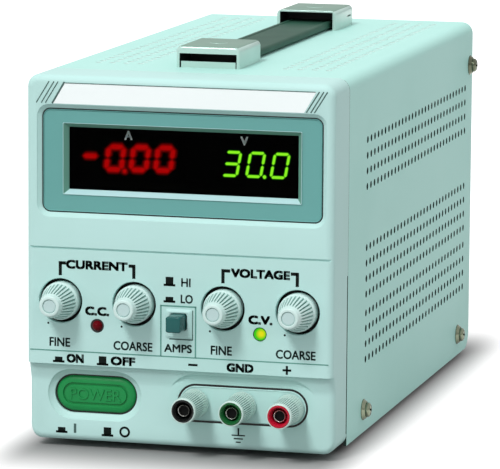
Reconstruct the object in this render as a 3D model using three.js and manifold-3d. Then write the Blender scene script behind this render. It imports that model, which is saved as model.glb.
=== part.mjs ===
// Bench power supply: a linear adjustable supply in a sheet steel case with a moulded front.
// Lengths are in millimetres. X runs left to right as the user sees the front, Y from the
// front to the rear and Z up. Inside the case group, Y is zero on the upper front face and
// Z is zero on the lower edge of the case.
import * as THREE from 'three';
import { mergeVertices } from 'three/addons/utils/BufferGeometryUtils.js';
import Module from 'manifold-3d';

const wasm = await Module();
wasm.setup();

// Driving dimensions
const caseWidth = 128;
const caseHeight = 150;
const caseDepth = 265;
const caseCorner = 5;
const sheet = 1.2;
const clearance = 0.3;
const overrun = 2;

// Front moulding
const bezelDepth = 25;
const bezelWall = 3;
const bezelEdgeRound = 3;
const lowerFaceSet = 4;
const lipHeight = 32.2;
const lipStep = 2;
const slopeFoot = 26;
const grooveDrop = 70.1;
const grooveWidth = 0.9;
const grooveDepth = 0.8;
const seamReliefWidth = 0.8;
const seamReliefLow = 5;
const seamReliefDrop = 6.9;

// Steel tray that carries the front parts
const trayFront = 9.5;
const floorHeight = 3.3;
const trayFlange = 14;
const trayTopGap = 4;

// Display opening, frame, window and modules
const displayPlaceX = 0.7;
const displayDrop = 34.6;
const frameHalfWidth = 58;
const frameHalfHeight = 20.7;
const frameCorner = 3;
const frameSet = 1.5;
const frameThick = 3;
const frameFlange = 1.6;
const pocketBevel = 1.9;
const windowRise = 0.8;
const windowHalfWidth = 47.6;
const windowHalfHeight = 12.7;
const windowBevel = 2.1;
const windowThick = 2.5;
const windowLap = 3;
const moduleDepth = 7.7;
const moduleRise = 0.4;
const currentModuleLeft = -45.5;
const currentModuleRight = -0.5;
const currentModuleTall = 19;
const voltageModuleLeft = 13.5;
const voltageModuleRight = 47.5;
const voltageModuleTall = 15;
const boardThick = 1.6;
const displayBoardTall = 34;
const displayBoardMargin = 4;
const displayPostRadius = 2.5;

// Rotary controls
const controlHeight = 58.3;
const outerControlPlace = 49.5;
const innerControlPlace = 18.5;
const wellRadius = 9.2;
const wellWall = 1.4;
const knobReach = 15.5;
const knobBaseRadius = 8;
const knobFrontRadius = 4.25;
const knobDiscRadius = 2.8;
const knobDiscDepth = 0.5;
const knobRim = 0.5;
const knobSunk = 3;
const knobFlutes = 16;
const knobFluteDepth = 0.3;
const knobFluteStart = 2;
const knobFluteEnd = 12.6;
const shaftRadius = 3;
const shaftGap = 0.2;
const shaftInKnob = 11;
const bushingRadius = 4.5;
const bushingFlank = 4;
const bushingNutRadius = 6;
const bushingNutThick = 2;
const potRadius = 8.2;
const potDepth = 9;
const shaftInPot = 5;

// Indicator lamps
const lampPlace = 34;
const lampHeight = 48.7;
const lampRadius = 2.5;
const lampReach = 1.8;
const lampFlangeRadius = 3.4;
const lampFlangeThick = 1;
const lampTail = 2;

// Current range push button
const rangePlaceX = 0.3;
const rangeHeight = 52.2;
const rangeButtonHalfWidth = 2.9;
const rangeButtonHalfHeight = 2.75;
const rangeReach = 9;
const rangeButtonEdge = 0.5;
const rangeButtonCorner = 0.8;
const rangeGap = 0.6;
const rangeSurroundHalfWidth = 5.6;
const rangeSurroundHalfHeight = 6;
const rangeSurroundReach = 0.8;
const rangeSurroundPlace = 51.25;
const rangeTravel = 3;
const stemHalf = 2;
const stemInSwitch = 6;
const switchWall = 2.5;
const switchDepth = 14;
const powerSwitchHalf = 9;

// Power push button in its dish
const powerPlaceX = -36.3;
const powerHeight = 19.3;
const powerHalfLength = 17.1;
const powerHalfHeight = 7.65;
const powerFaceSet = 5.6;
const powerBevel = 3.2;
const powerBevelDepth = 1;
const dishSlope = 2.2;
const dishDepth = 2.4;
const dishWall = 1.2;

// Output terminals
const terminalCentreX = 25.8;
const terminalHeight = 18.4;
const terminalPitch = 19.8;
const platformHalfLength = 27.2;
const platformHalfHeight = 7.85;
const platformSet = 1;
const studRadius = 2.9;
const studSocketRadius = 2;
const studSocketDepth = 14;
const studReach = 12.5;
const studTail = 4;
const studShoulderRadius = 5.2;
const studShoulderThick = 0.8;
const studNutRadius = 4.6;
const studNutThick = 3;
const sleeveReach = 14;
const sleeveBaseRadius = 5.9;
const sleeveFrontRadius = 5.1;
const sleeveFlutes = 14;
const sleeveFluteDepth = 0.2;
const sleeveBand = 1.2;
const sleeveEase = 0.6;
const insertRadius = 4.4;
const insertDepth = 5.3;
const insertProud = 0.3;

// Sheet cover and its perforations
const rearCorner = 8;
const perforation = 2.4;
const rowPitch = 6.45;
const rowsPerGroup = 4;
const sideGroupDrops = [28.6, 73.3, 100.5];
const rowStart = 60;
const rowRearInset = 13;
const slotsPerRow = 4;
const slotBridge = 6.4;
const topRowInset = 31;
const topRowPitch = 6;
const topRowStart = 53;

// Cover screws with cup washers
const screwFrontPlace = 54.5;
const screwRearInset = 25;
const screwLowHeight = 9.6;
const screwUpperInset = 5.5;
const screwUpperDrop = 19;
const screwRadius = 1.9;
const screwHeadRadius = 3.3;
const screwHeadHeight = 1.9;
const screwSlotWidth = 0.8;
const screwSlotDepth = 0.9;
const screwCrownShare = 0.7;
const screwSlotShare = 0.6;
const cupRadius = 5;
const cupHeight = 1.5;
const screwLength = 8;

// Rear panel, heat sink and rear fittings
const panelFlange = 14;
const sinkHalfWidth = 50;
const sinkDrop = 8;
const sinkAboveInlet = 11;
const sinkBase = 4;
const sinkReach = 20;
const sinkFins = 13;
const sinkFinThick = 1.8;
const inletPlaceX = -36;
const inletHalfWidth = 14;
const inletLow = 12;
const inletHigh = 45;
const inletFlange = 2.2;
const inletFlangeThick = 2;
const inletDepth = 26;
const cavityHalfWidth = 11.8;
const cavityLow = 25.5;
const cavityHigh = 41.5;
const cavityDepth = 17;
const pinWide = 2;
const pinTall = 4;
const pinSpread = 7;
const pinLift = 2.6;
const earthPinLift = 3.4;
const pinShort = 2;
const drawerHalfWidth = 10.5;
const drawerLow = 14.5;
const drawerHigh = 21.5;
const drawerDepth = 22;
const drawerLip = 1.6;
const drawerPull = 2.5;
const selectorPlaceX = 18;
const selectorHeight = 30;
const selectorHalfWidth = 9;
const selectorHalfHeight = 5.5;
const selectorFlange = 2;
const selectorFlangeThick = 1.2;
const selectorDepth = 9;
const selectorBayHalfWidth = 5.6;
const selectorBayHalfHeight = 2.6;
const selectorBayDepth = 3;
const sliderHalfWidth = 2.6;

// Feet and carrying handle
const footDrop = 3;
const footRadius = 8;
const footInset = 20;
const footFrontPlace = 36;
const footRearInset = 27;
const footWaistShare = 0.9;
const handleFront = 43;
const handleRearInset = 25;
const capLength = 33;
const capHalfWidth = 13.5;
const capHeight = 8.9;
const capWall = 1.6;
const capTop = 1.2;
const capRound = 1.5;
const capLip = 2.65;
const capRimTall = 3;
const capDimpleRadius = 3;
const capDimpleRise = 0.4;
const strapHalfWidth = 11.2;
const strapThick = 3.5;
const strapLift = 0.9;
const strapStopLength = 5;
const strapInset = 6;
const strapRound = 1;

// Transformer, board and the parts on it
const coreHalfWidth = 46;
const coreHeight = 78;
const coreFront = 66;
const coreStack = 46;
const coreLeg = 15.5;
const coreYoke = 15;
const windingGap = 0.5;
const windingOut = 13;
const mainBoardFront = 142;
const mainBoardRear = 232;
const mainBoardSideGap = 8.8;
const standoffHeight = 6;
const standoffRadius = 3;
const standoffInset = 5;
const capacitorRadius = 16;
const capacitorTall = 52;
const capacitorPlaceX = -26;
const capacitorPlaceY = 176;
const rectifierSide = 28;
const rectifierTall = 9;
const rectifierPlaceX = 28;
const rectifierPlaceY = 170;

// Facet counts
const roundSegments = 28;
const smallSegments = 16;
const cornerSegments = 4;
const stadiumRoundShare = 0.999;

const halfWidth = caseWidth / 2;
const innerHalfWidth = halfWidth - sheet;
const innerTop = caseHeight - sheet;
const trayBack = trayFront + sheet;
const floorTop = floorHeight + sheet;
const trayHalfWidth = innerHalfWidth - clearance;
const mainBoardHalfWidth = innerHalfWidth - mainBoardSideGap;
const lowerWallBack = lowerFaceSet + bezelWall;
const platformFace = lowerFaceSet + platformSet;
const displayHeight = caseHeight - displayDrop;
const windowHeight = displayHeight + windowRise;
const moduleHeight = windowHeight + moduleRise;
const grooveHeight = caseHeight - grooveDrop;
const seamReliefHigh = grooveHeight - seamReliefDrop;
const rowEnd = caseDepth - rowRearInset;
const screwRearPlace = caseDepth - screwRearInset;
const screwUpperPlace = caseDepth - screwUpperInset;
const screwUpperHeight = caseHeight - screwUpperDrop;
const sinkHigh = caseHeight - sinkDrop;
const sinkLow = inletHigh + sinkAboveInlet;
const footRearPlace = caseDepth - footRearInset;
const handleRear = caseDepth - handleRearInset;
const controlPlaces = [-outerControlPlace, -innerControlPlace, innerControlPlace, outerControlPlace];
const terminalPlaces = [-terminalPitch, 0, terminalPitch].map((step) => terminalCentreX + step);

// Solids and geometries

function solid(geometry) {
  geometry.deleteAttribute('normal');
  geometry.deleteAttribute('uv');
  const merged = mergeVertices(geometry);
  const index = merged.index.array;
  const kept = [];
  for (let i = 0; i < index.length; i += 3) {
    const [a, b, c] = [index[i], index[i + 1], index[i + 2]];
    if (a !== b && b !== c && c !== a) kept.push(a, b, c);
  }
  const vertProperties = new Float32Array(merged.attributes.position.array);
  const mesh = new wasm.Mesh({ numProp: 3, vertProperties, triVerts: new Uint32Array(kept) });
  return new wasm.Manifold(mesh);
}

function geometryOf(shape) {
  const mesh = shape.getMesh();
  const geometry = new THREE.BufferGeometry();
  geometry.setAttribute('position', new THREE.Float32BufferAttribute(mesh.vertProperties, 3));
  geometry.setIndex(new THREE.Uint32BufferAttribute(mesh.triVerts, 1));
  geometry.computeVertexNormals();
  return geometry;
}

function block(x0, x1, y0, y1, z0, z1) {
  const geometry = new THREE.BoxGeometry(x1 - x0, y1 - y0, z1 - z0);
  geometry.translate((x0 + x1) / 2, (y0 + y1) / 2, (z0 + z1) / 2);
  return solid(geometry);
}

function rodY(radius, y0, y1, x, z, segments = smallSegments) {
  const geometry = new THREE.CylinderGeometry(radius, radius, y1 - y0, segments);
  geometry.translate(x, (y0 + y1) / 2, z);
  return solid(geometry);
}

function rodX(radius, x0, x1, y, z, segments = smallSegments) {
  const geometry = new THREE.CylinderGeometry(radius, radius, x1 - x0, segments);
  geometry.rotateZ(Math.PI / 2);
  geometry.translate((x0 + x1) / 2, y, z);
  return solid(geometry);
}

function rodZ(radius, z0, z1, x, y, segments = smallSegments) {
  const geometry = new THREE.CylinderGeometry(radius, radius, z1 - z0, segments);
  geometry.rotateX(Math.PI / 2);
  geometry.translate(x, y, (z0 + z1) / 2);
  return solid(geometry);
}

// A turned shape about Y: the profile lists radius and place along the axis.
function turned(points, segments = roundSegments) {
  const profile = points.map(([radius, along]) => new THREE.Vector2(radius, along));
  return new THREE.LatheGeometry(profile, segments);
}

function roundedRectangle(halfX, halfZ, radius, x, z) {
  const shape = new THREE.Shape();
  shape.moveTo(x - halfX + radius, z - halfZ);
  shape.lineTo(x + halfX - radius, z - halfZ);
  shape.absarc(x + halfX - radius, z - halfZ + radius, radius, -Math.PI / 2, 0, false);
  shape.lineTo(x + halfX, z + halfZ - radius);
  shape.absarc(x + halfX - radius, z + halfZ - radius, radius, 0, Math.PI / 2, false);
  shape.lineTo(x - halfX + radius, z + halfZ);
  shape.absarc(x - halfX + radius, z + halfZ - radius, radius, Math.PI / 2, Math.PI, false);
  shape.lineTo(x - halfX, z - halfZ + radius);
  shape.absarc(x - halfX + radius, z - halfZ + radius, radius, Math.PI, Math.PI * 1.5, false);
  return shape;
}

// Extrudes an outline drawn in X and Z along Y, from y0 at the front to y1 at the rear.
function extrudeY(shape, y0, y1, options = {}) {
  const settings = { depth: y1 - y0, bevelEnabled: false, curveSegments: cornerSegments, ...options };
  const geometry = new THREE.ExtrudeGeometry(shape, settings);
  geometry.rotateX(Math.PI / 2);
  geometry.translate(0, y1, 0);
  return solid(geometry);
}

// A bevelled block: its outline is full between the bevels and narrower by the inset at the ends.
function bevelled(shape, y0, y1, thickness, inset, segments = 1) {
  return extrudeY(shape, y0 + thickness, y1 - thickness, {
    bevelEnabled: true,
    bevelThickness: thickness,
    bevelSize: inset,
    bevelOffset: -inset,
    bevelSegments: segments,
  });
}

// A tapered block: its outline is narrower by the inset at the front or at the rear.
function tapered(shape, y0, y1, inset, narrowFront) {
  const settings = { depth: y1 - y0, bevelEnabled: false, curveSegments: cornerSegments };
  const geometry = new THREE.ExtrudeGeometry(shape, settings);
  geometry.computeBoundingBox();
  const middle = geometry.boundingBox.getCenter(new THREE.Vector3());
  const size = geometry.boundingBox.getSize(new THREE.Vector3());
  const shareX = 1 - (inset * 2) / size.x;
  const shareY = 1 - (inset * 2) / size.y;
  const position = geometry.attributes.position;
  for (let i = 0; i < position.count; i += 1) {
    const atFront = position.getZ(i) > middle.z;
    if (atFront === narrowFront) {
      position.setX(i, middle.x + (position.getX(i) - middle.x) * shareX);
      position.setY(i, middle.y + (position.getY(i) - middle.y) * shareY);
    }
  }
  geometry.rotateX(Math.PI / 2);
  geometry.translate(0, y1, 0);
  return solid(geometry);
}

// A funnel-shaped cut: the outline at the face, narrower by the inset at its floor.
function funnel(shape, face, depth, inset) {
  return tapered(shape, face, face + depth, inset, false).add(extrudeY(shape, face - overrun, face));
}

// A block whose front edges alone are bevelled.
function frontBevelled(shape, y0, y1, thickness, inset, segments = 1) {
  const whole = bevelled(shape, y0, y1 + thickness + overrun, thickness, inset, segments);
  const far = y1 + thickness + overrun * 2;
  return whole.subtract(block(-caseWidth, caseWidth, y1, far, -caseHeight, caseHeight * 2));
}

function stadium(halfLength, halfHeight, x, z) {
  return roundedRectangle(halfLength, halfHeight, halfHeight * stadiumRoundShare, x, z);
}

// Presses every other line of a turned part's outside inwards between two places on its axis.
function fluted(geometry, flutes, depth, from, to, boreRadius) {
  const position = geometry.attributes.position;
  const step = Math.PI / flutes;
  for (let i = 0; i < position.count; i += 1) {
    const [x, y, z] = [position.getX(i), position.getY(i), position.getZ(i)];
    const pressed = y > from && y < to && Math.hypot(x, z) > boreRadius;
    const line = Math.round(Math.atan2(x, z) / step);
    if (pressed && Math.abs(line) % 2 === 1) {
      const radius = Math.hypot(x, z);
      const share = (radius - depth) / radius;
      position.setX(i, x * share);
      position.setZ(i, z * share);
    }
  }
  return geometry;
}

// Extrudes an outline drawn in Y and Z along X.
function prismX(corners, x0, x1) {
  const shape = new THREE.Shape(corners.map(([y, z]) => new THREE.Vector2(y, z)));
  const geometry = new THREE.ExtrudeGeometry(shape, { depth: x1 - x0, bevelEnabled: false });
  geometry.applyMatrix4(new THREE.Matrix4().set(0, 0, 1, x0, 1, 0, 0, 0, 0, 1, 0, 0, 0, 0, 0, 1));
  return solid(geometry);
}

// Materials

function finish(color, roughness, metalness = 0) {
  return new THREE.MeshStandardMaterial({ color, roughness, metalness });
}

const mintPlastic = finish(0xbfe4dc, 0.55);
const mintPaint = finish(0x9fcdc2, 0.5);
const tealPlastic = finish(0x5fa79f, 0.6);
const knobPlastic = finish(0xcfe0d8, 0.5);
const blackPlastic = finish(0x151515, 0.5);
const smokedAcrylic = finish(0x0a0508, 0.08);
const redPlastic = finish(0xc32645, 0.4);
const greenPlastic = finish(0x1d8c4a, 0.4);
const lampRed = finish(0x6d1a22, 0.3);
const lampGreen = finish(0xa8ee2a, 0.3);
const chrome = finish(0xc9d2cf, 0.15, 1);
const steel = finish(0xb9bfbe, 0.4, 1);
const strapVinyl = finish(0x8fa79e, 0.6);
const blackAnodised = finish(0x1c1d1e, 0.5, 1);
const rubber = finish(0x202020, 0.9);
const laminations = finish(0x5d5f60, 0.6, 1);
const tapeYellow = finish(0xc9a23a, 0.7);
const boardGreen = finish(0x2f6a3d, 0.6);

const caseGroup = new THREE.Group();

function place(name, shape, material, x = 0, y = 0, z = 0) {
  const mesh = new THREE.Mesh(geometryOf(shape), material);
  mesh.name = name;
  mesh.position.set(x, y, z);
  caseGroup.add(mesh);
  return mesh;
}

// Front moulding: a shell with wells for the knobs, a dish for the power button and a
// low platform for the terminals.
function bezelShell() {
  const outline = roundedRectangle(halfWidth, caseHeight / 2, caseCorner, 0, caseHeight / 2);
  const outer = frontBevelled(outline, 0, bezelDepth, bezelEdgeRound, bezelEdgeRound, 3);
  const inside = halfWidth - bezelWall;
  const top = caseHeight - bezelWall;
  const rear = bezelDepth + overrun;
  const upper = block(-inside, inside, bezelWall, rear, lipHeight, top);
  const lower = block(-inside, inside, lowerWallBack, rear, bezelWall, top);
  return outer.subtract(upper).subtract(lower);
}

// The set-back lower face, with the lip above it, cut across the full width.
function lowerFaceCut() {
  const corners = [
    [-overrun, -overrun],
    [lowerFaceSet, -overrun],
    [lowerFaceSet, slopeFoot],
    [lipStep, lipHeight],
    [-overrun, lipHeight],
  ];
  return prismX(corners, -halfWidth - overrun, halfWidth + overrun);
}

function groove() {
  const half = grooveWidth / 2;
  const side = halfWidth + overrun;
  return block(-side, side, -overrun, grooveDepth, grooveHeight - half, grooveHeight + half);
}

function seamRelief(side) {
  const inner = side * (halfWidth - bezelWall - overrun);
  const outer = side * (halfWidth + overrun);
  const front = bezelDepth - seamReliefWidth;
  const [low, high] = [Math.min(inner, outer), Math.max(inner, outer)];
  return block(low, high, front, bezelDepth + overrun, seamReliefLow, seamReliefHigh);
}

function frameOutline(extra) {
  const [halfX, halfZ] = [frameHalfWidth + extra, frameHalfHeight + extra];
  return roundedRectangle(halfX, halfZ, frameCorner, displayPlaceX, displayHeight);
}

function knobWell(x) {
  return rodY(wellRadius + wellWall, bezelWall, trayFront, x, controlHeight, roundSegments);
}

function rangeOpening(extra) {
  const [halfX, halfZ] = [rangeButtonHalfWidth + extra, rangeButtonHalfHeight + extra];
  const back = bezelWall + overrun;
  const [low, high] = [rangeHeight - halfZ, rangeHeight + halfZ];
  return block(rangePlaceX - halfX, rangePlaceX + halfX, -overrun, back, low, high);
}

// A low raised collar frames the range button.
function rangeSurround() {
  const outline = roundedRectangle(
    rangeSurroundHalfWidth, rangeSurroundHalfHeight, rangeButtonCorner, rangePlaceX, rangeSurroundPlace,
  );
  return extrudeY(outline, -rangeSurroundReach, bezelWall);
}

function powerOutline(extra) {
  return stadium(powerHalfLength + extra, powerHalfHeight + extra, powerPlaceX, powerHeight);
}

function platformOutline(extra) {
  return stadium(platformHalfLength + extra, platformHalfHeight + extra, terminalCentreX, terminalHeight);
}

function frontBezel() {
  let body = bezelShell();
  body = body.add(extrudeY(powerOutline(dishSlope + dishWall), lowerFaceSet + overrun, trayFront));
  body = body.add(extrudeY(platformOutline(0), platformFace + sheet, trayFront));
  controlPlaces.forEach((x) => {
    body = body.add(knobWell(x));
  });
  body = body.subtract(lowerFaceCut()).subtract(groove());
  body = body.subtract(seamRelief(-1)).subtract(seamRelief(1));
  body = body.subtract(extrudeY(frameOutline(clearance), -overrun, bezelWall + overrun));
  body = body.subtract(funnel(frameOutline(pocketBevel), 0, frameSet, pocketBevel));
  controlPlaces.forEach((x) => {
    body = body.subtract(rodY(wellRadius, -overrun, trayFront + overrun, x, controlHeight, roundSegments));
  });
  body = body.add(rangeSurround()).subtract(rangeOpening(rangeGap));
  body = body.subtract(funnel(powerOutline(dishSlope), lowerFaceSet, dishDepth, dishSlope - clearance));
  body = body.subtract(extrudeY(powerOutline(clearance), 0, trayFront + overrun));
  body = body.subtract(extrudeY(platformOutline(0), 0, platformFace));
  terminalPlaces.forEach((x) => {
    body = body.subtract(rodY(studRadius + clearance, 0, trayFront + overrun, x, terminalHeight));
  });
  [-lampPlace, lampPlace].forEach((x) => {
    body = body.subtract(rodY(lampRadius + clearance, -overrun, bezelWall + overrun, x, lampHeight));
  });
  return body;
}

// Display: a teal frame set into the moulding from behind, with a smoked pane on its back.
const frameBack = frameSet + frameThick;
const paneBack = frameBack + windowThick;
const moduleFront = paneBack + clearance;
const moduleBack = moduleFront + moduleDepth;

function windowOutline(extra) {
  const [halfX, halfZ] = [windowHalfWidth + extra, windowHalfHeight + extra];
  return roundedRectangle(halfX, halfZ, clearance, displayPlaceX, windowHeight);
}

function displayFrame() {
  const plate = extrudeY(frameOutline(0), frameSet, frameBack);
  const flange = extrudeY(frameOutline(frameFlange), bezelWall, frameBack);
  const opening = extrudeY(windowOutline(0), frameSet, frameBack + overrun);
  const bevel = funnel(windowOutline(windowBevel), frameSet, frameThick, windowBevel);
  return plate.add(flange).subtract(opening).subtract(bevel);
}

function displayWindow() {
  return extrudeY(windowOutline(windowLap), frameBack, paneBack);
}

function digitModule(left, right, tall) {
  return block(left, right, moduleFront, moduleBack, moduleHeight - tall / 2, moduleHeight + tall / 2);
}

function displayBoard() {
  const left = currentModuleLeft - displayBoardMargin;
  const right = voltageModuleRight + displayBoardMargin;
  const low = moduleHeight - displayBoardTall / 2;
  const high = moduleHeight + displayBoardTall / 2;
  let board = block(left, right, moduleBack, moduleBack + boardThick, low, high);
  [left + displayPostRadius, right - displayPostRadius].forEach((x) => {
    [low + displayPostRadius, high - displayPostRadius].forEach((z) => {
      board = board.add(rodY(displayPostRadius, trayBack, moduleBack + boardThick, x, z));
    });
  });
  return board;
}

// Steel tray: a floor with low side flanges and an upright wall behind the moulding.
function displayOpening() {
  const half = currentModuleTall / 2 + clearance;
  const [low, high] = [moduleHeight - half, moduleHeight + half];
  const [left, right] = [currentModuleLeft - clearance, voltageModuleRight + clearance];
  return block(left, right, trayFront - overrun, trayBack + overrun, low, high);
}

function stemOpening(x, z) {
  const half = stemHalf + clearance;
  return block(x - half, x + half, trayFront - overrun, trayBack + overrun, z - half, z + half);
}

function bottomChassis() {
  const frontHalf = halfWidth - bezelWall - clearance;
  const wallTop = caseHeight - bezelWall - trayTopGap;
  const step = bezelDepth + clearance;
  const flangeTop = floorHeight + trayFlange;
  const flangeBack = caseDepth - panelFlange - clearance;
  let tray = block(-frontHalf, frontHalf, trayFront, trayBack, floorHeight, wallTop);
  tray = tray.add(block(-frontHalf, frontHalf, trayFront, step + sheet, floorHeight, floorTop));
  tray = tray.add(block(-trayHalfWidth, trayHalfWidth, step, caseDepth - clearance, floorHeight, floorTop));
  tray = tray.add(block(-trayHalfWidth, sheet - trayHalfWidth, step, flangeBack, floorHeight, flangeTop));
  tray = tray.add(block(trayHalfWidth - sheet, trayHalfWidth, step, flangeBack, floorHeight, flangeTop));
  tray = tray.subtract(displayOpening());
  tray = tray.subtract(stemOpening(rangePlaceX, rangeHeight)).subtract(stemOpening(powerPlaceX, powerHeight));
  controlPlaces.forEach((x) => {
    const radius = bushingRadius + clearance;
    tray = tray.subtract(rodY(radius, trayFront - overrun, trayBack + overrun, x, controlHeight));
  });
  terminalPlaces.forEach((x) => {
    const radius = studRadius + clearance;
    tray = tray.subtract(rodY(radius, trayFront - overrun, trayBack + overrun, x, terminalHeight));
  });
  [screwFrontPlace, screwRearPlace].forEach((y) => {
    tray = tray.subtract(rodX(screwRadius + clearance, -halfWidth, halfWidth, y, screwLowHeight));
  });
  return tray;
}

// Cover: one sheet bent over the top and both sides, pierced in rows.
function coverOutline(inset) {
  const drop = caseCorner * 2;
  const halfTall = (caseHeight + drop) / 2 - inset;
  return roundedRectangle(halfWidth - inset, halfTall, caseCorner - inset, 0, (caseHeight - drop) / 2);
}

function rowSlots(first, last, cut) {
  const length = (last - first - slotBridge * (slotsPerRow - 1)) / slotsPerRow;
  const slots = [];
  for (let i = 0; i < slotsPerRow; i += 1) {
    const start = first + i * (length + slotBridge);
    slots.push(cut(start, start + length));
  }
  return slots;
}

function sideSlots(z) {
  const half = perforation / 2;
  const side = halfWidth + overrun;
  const slot = (from, to) => block(-side, side, from, to, z - half, z + half);
  return rowSlots(rowStart - half, rowEnd + half, slot);
}

function topSlots(x) {
  const half = perforation / 2;
  const [low, high] = [innerTop - overrun, caseHeight + overrun];
  const slot = (from, to) => block(x - half, x + half, from, to, low, high);
  return rowSlots(topRowStart - half, rowEnd + half, slot);
}

function rearCornerCut() {
  const front = caseDepth - rearCorner;
  const side = halfWidth + overrun;
  const square = block(-side, side, front, caseDepth + overrun, -overrun, rearCorner);
  return square.subtract(rodX(rearCorner, -side - overrun, side + overrun, front, rearCorner, roundSegments));
}

function topCover() {
  const front = bezelDepth + clearance;
  const low = caseCorner * 2 + overrun;
  let cover = extrudeY(coverOutline(0), front, caseDepth);
  cover = cover.subtract(extrudeY(coverOutline(sheet), front - overrun, caseDepth + overrun));
  cover = cover.subtract(block(-caseWidth, caseWidth, front - overrun, caseDepth + overrun, -low, 0));
  cover = cover.subtract(rearCornerCut());
  sideGroupDrops.forEach((drop) => {
    for (let row = 0; row < rowsPerGroup; row += 1) {
      sideSlots(caseHeight - drop - row * rowPitch).forEach((slot) => {
        cover = cover.subtract(slot);
      });
    }
  });
  for (let row = 0; row < rowsPerGroup; row += 1) {
    const place = topRowInset + row * topRowPitch;
    topSlots(place).concat(topSlots(-place)).forEach((slot) => {
      cover = cover.subtract(slot);
    });
  }
  screwPlaces.forEach(([, y, z]) => {
    cover = cover.subtract(rodX(screwRadius + clearance, -caseWidth, caseWidth, y, z));
  });
  return cover;
}

// Cover screws, each with its captive cup washer.
const screwPlaces = [
  ['front', screwFrontPlace, screwLowHeight],
  ['rear', screwRearPlace, screwLowHeight],
  ['upper', screwUpperPlace, screwUpperHeight],
];

function coverScrew(side) {
  const headTop = cupHeight + screwHeadHeight;
  const cupThroat = (cupRadius + screwHeadRadius) / 2;
  const geometry = turned([
    [0, -screwLength],
    [screwRadius, -screwLength],
    [screwRadius, 0],
    [cupRadius, 0],
    [cupThroat, cupHeight],
    [screwHeadRadius, cupHeight],
    [screwHeadRadius, cupHeight + screwHeadHeight / 2],
    [screwHeadRadius * screwCrownShare, headTop],
    [0, headTop],
  ], smallSegments);
  geometry.rotateZ(-side * Math.PI / 2);
  const half = screwSlotWidth / 2;
  const arm = screwHeadRadius * screwSlotShare;
  const outer = side * (headTop + overrun);
  const inner = side * (headTop - screwSlotDepth);
  const [low, high] = [Math.min(inner, outer), Math.max(inner, outer)];
  const cross = block(low, high, -half, half, -arm, arm).add(block(low, high, -arm, arm, -half, half));
  return solid(geometry).subtract(cross);
}

// Rear panel: a shallow tray facing forwards, with the heat sink on its outside.
function rearOutline(inset) {
  const [low, high] = [floorTop, innerTop - clearance];
  const corner = caseCorner - sheet;
  const halfTall = (high - low) / 2 - inset;
  return roundedRectangle(trayHalfWidth - inset, halfTall, corner - inset, 0, (high + low) / 2);
}

function rearPanel() {
  const front = caseDepth - panelFlange;
  let panel = extrudeY(rearOutline(0), front, caseDepth);
  panel = panel.subtract(extrudeY(rearOutline(sheet), front - overrun, caseDepth - sheet));
  const [x0, x1] = [inletPlaceX - inletHalfWidth - clearance, inletPlaceX + inletHalfWidth + clearance];
  const [z0, z1] = [inletLow - clearance, inletHigh + clearance];
  panel = panel.subtract(block(x0, x1, front, caseDepth + overrun, z0, z1));
  const [halfX, halfZ] = [selectorHalfWidth + clearance, selectorHalfHeight + clearance];
  const [s0, s1] = [selectorPlaceX - halfX, selectorPlaceX + halfX];
  const [low, high] = [selectorHeight - halfZ, selectorHeight + halfZ];
  panel = panel.subtract(block(s0, s1, front, caseDepth + overrun, low, high));
  return panel.subtract(rodX(screwRadius + clearance, -halfWidth, halfWidth, screwUpperPlace, screwUpperHeight));
}

function heatSink() {
  const finPitch = (sinkHalfWidth * 2 - sinkFinThick) / (sinkFins - 1);
  let sink = block(-sinkHalfWidth, sinkHalfWidth, caseDepth, caseDepth + sinkBase, sinkLow, sinkHigh);
  for (let i = 0; i < sinkFins; i += 1) {
    const x = i * finPitch - sinkHalfWidth;
    sink = sink.add(block(x, x + sinkFinThick, caseDepth, caseDepth + sinkReach, sinkLow, sinkHigh));
  }
  return sink;
}

// Mains inlet with a fuse drawer below its cavity.
const inletFace = caseDepth + inletFlangeThick;

function inletPin(x, z) {
  const [halfX, halfZ] = [pinWide / 2, pinTall / 2];
  const floor = inletFace - cavityDepth - overrun;
  return block(x - halfX, x + halfX, floor, inletFace - pinShort, z - halfZ, z + halfZ);
}

function mainsInlet() {
  const [x0, x1] = [inletPlaceX - inletHalfWidth, inletPlaceX + inletHalfWidth];
  const middle = (cavityLow + cavityHigh) / 2;
  const bay = drawerHalfWidth + clearance;
  let body = block(x0, x1, inletFace - inletDepth, inletFace, inletLow, inletHigh);
  const [f0, f1] = [x0 - inletFlange, x1 + inletFlange];
  body = body.add(block(f0, f1, caseDepth, inletFace, inletLow - inletFlange, inletHigh + inletFlange));
  const [c0, c1] = [inletPlaceX - cavityHalfWidth, inletPlaceX + cavityHalfWidth];
  body = body.subtract(block(c0, c1, inletFace - cavityDepth, inletFace + overrun, cavityLow, cavityHigh));
  const [b0, b1] = [inletPlaceX - bay, inletPlaceX + bay];
  const bayFloor = inletFace - drawerDepth - clearance;
  body = body.subtract(block(b0, b1, bayFloor, inletFace + overrun, drawerLow - clearance, drawerHigh + clearance));
  body = body.add(inletPin(inletPlaceX - pinSpread, middle - pinLift));
  body = body.add(inletPin(inletPlaceX + pinSpread, middle - pinLift));
  return body.add(inletPin(inletPlaceX, middle + earthPinLift));
}

function fuseDrawer() {
  const [x0, x1] = [inletPlaceX - drawerHalfWidth, inletPlaceX + drawerHalfWidth];
  const lipFront = inletFace + clearance;
  const body = block(x0, x1, inletFace - drawerDepth, lipFront + drawerLip, drawerLow, drawerHigh);
  const lip = block(x0 - sheet, x1 + sheet, lipFront, lipFront + drawerLip, drawerLow - sheet, drawerHigh + sheet);
  const middle = (drawerLow + drawerHigh) / 2;
  const half = drawerHalfWidth / 2;
  const [p0, p1] = [inletPlaceX - half, inletPlaceX + half];
  const pull = block(p0, p1, lipFront, lipFront + drawerLip + drawerPull, middle - sheet / 2, middle + sheet / 2);
  return body.add(lip).add(pull);
}

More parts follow.
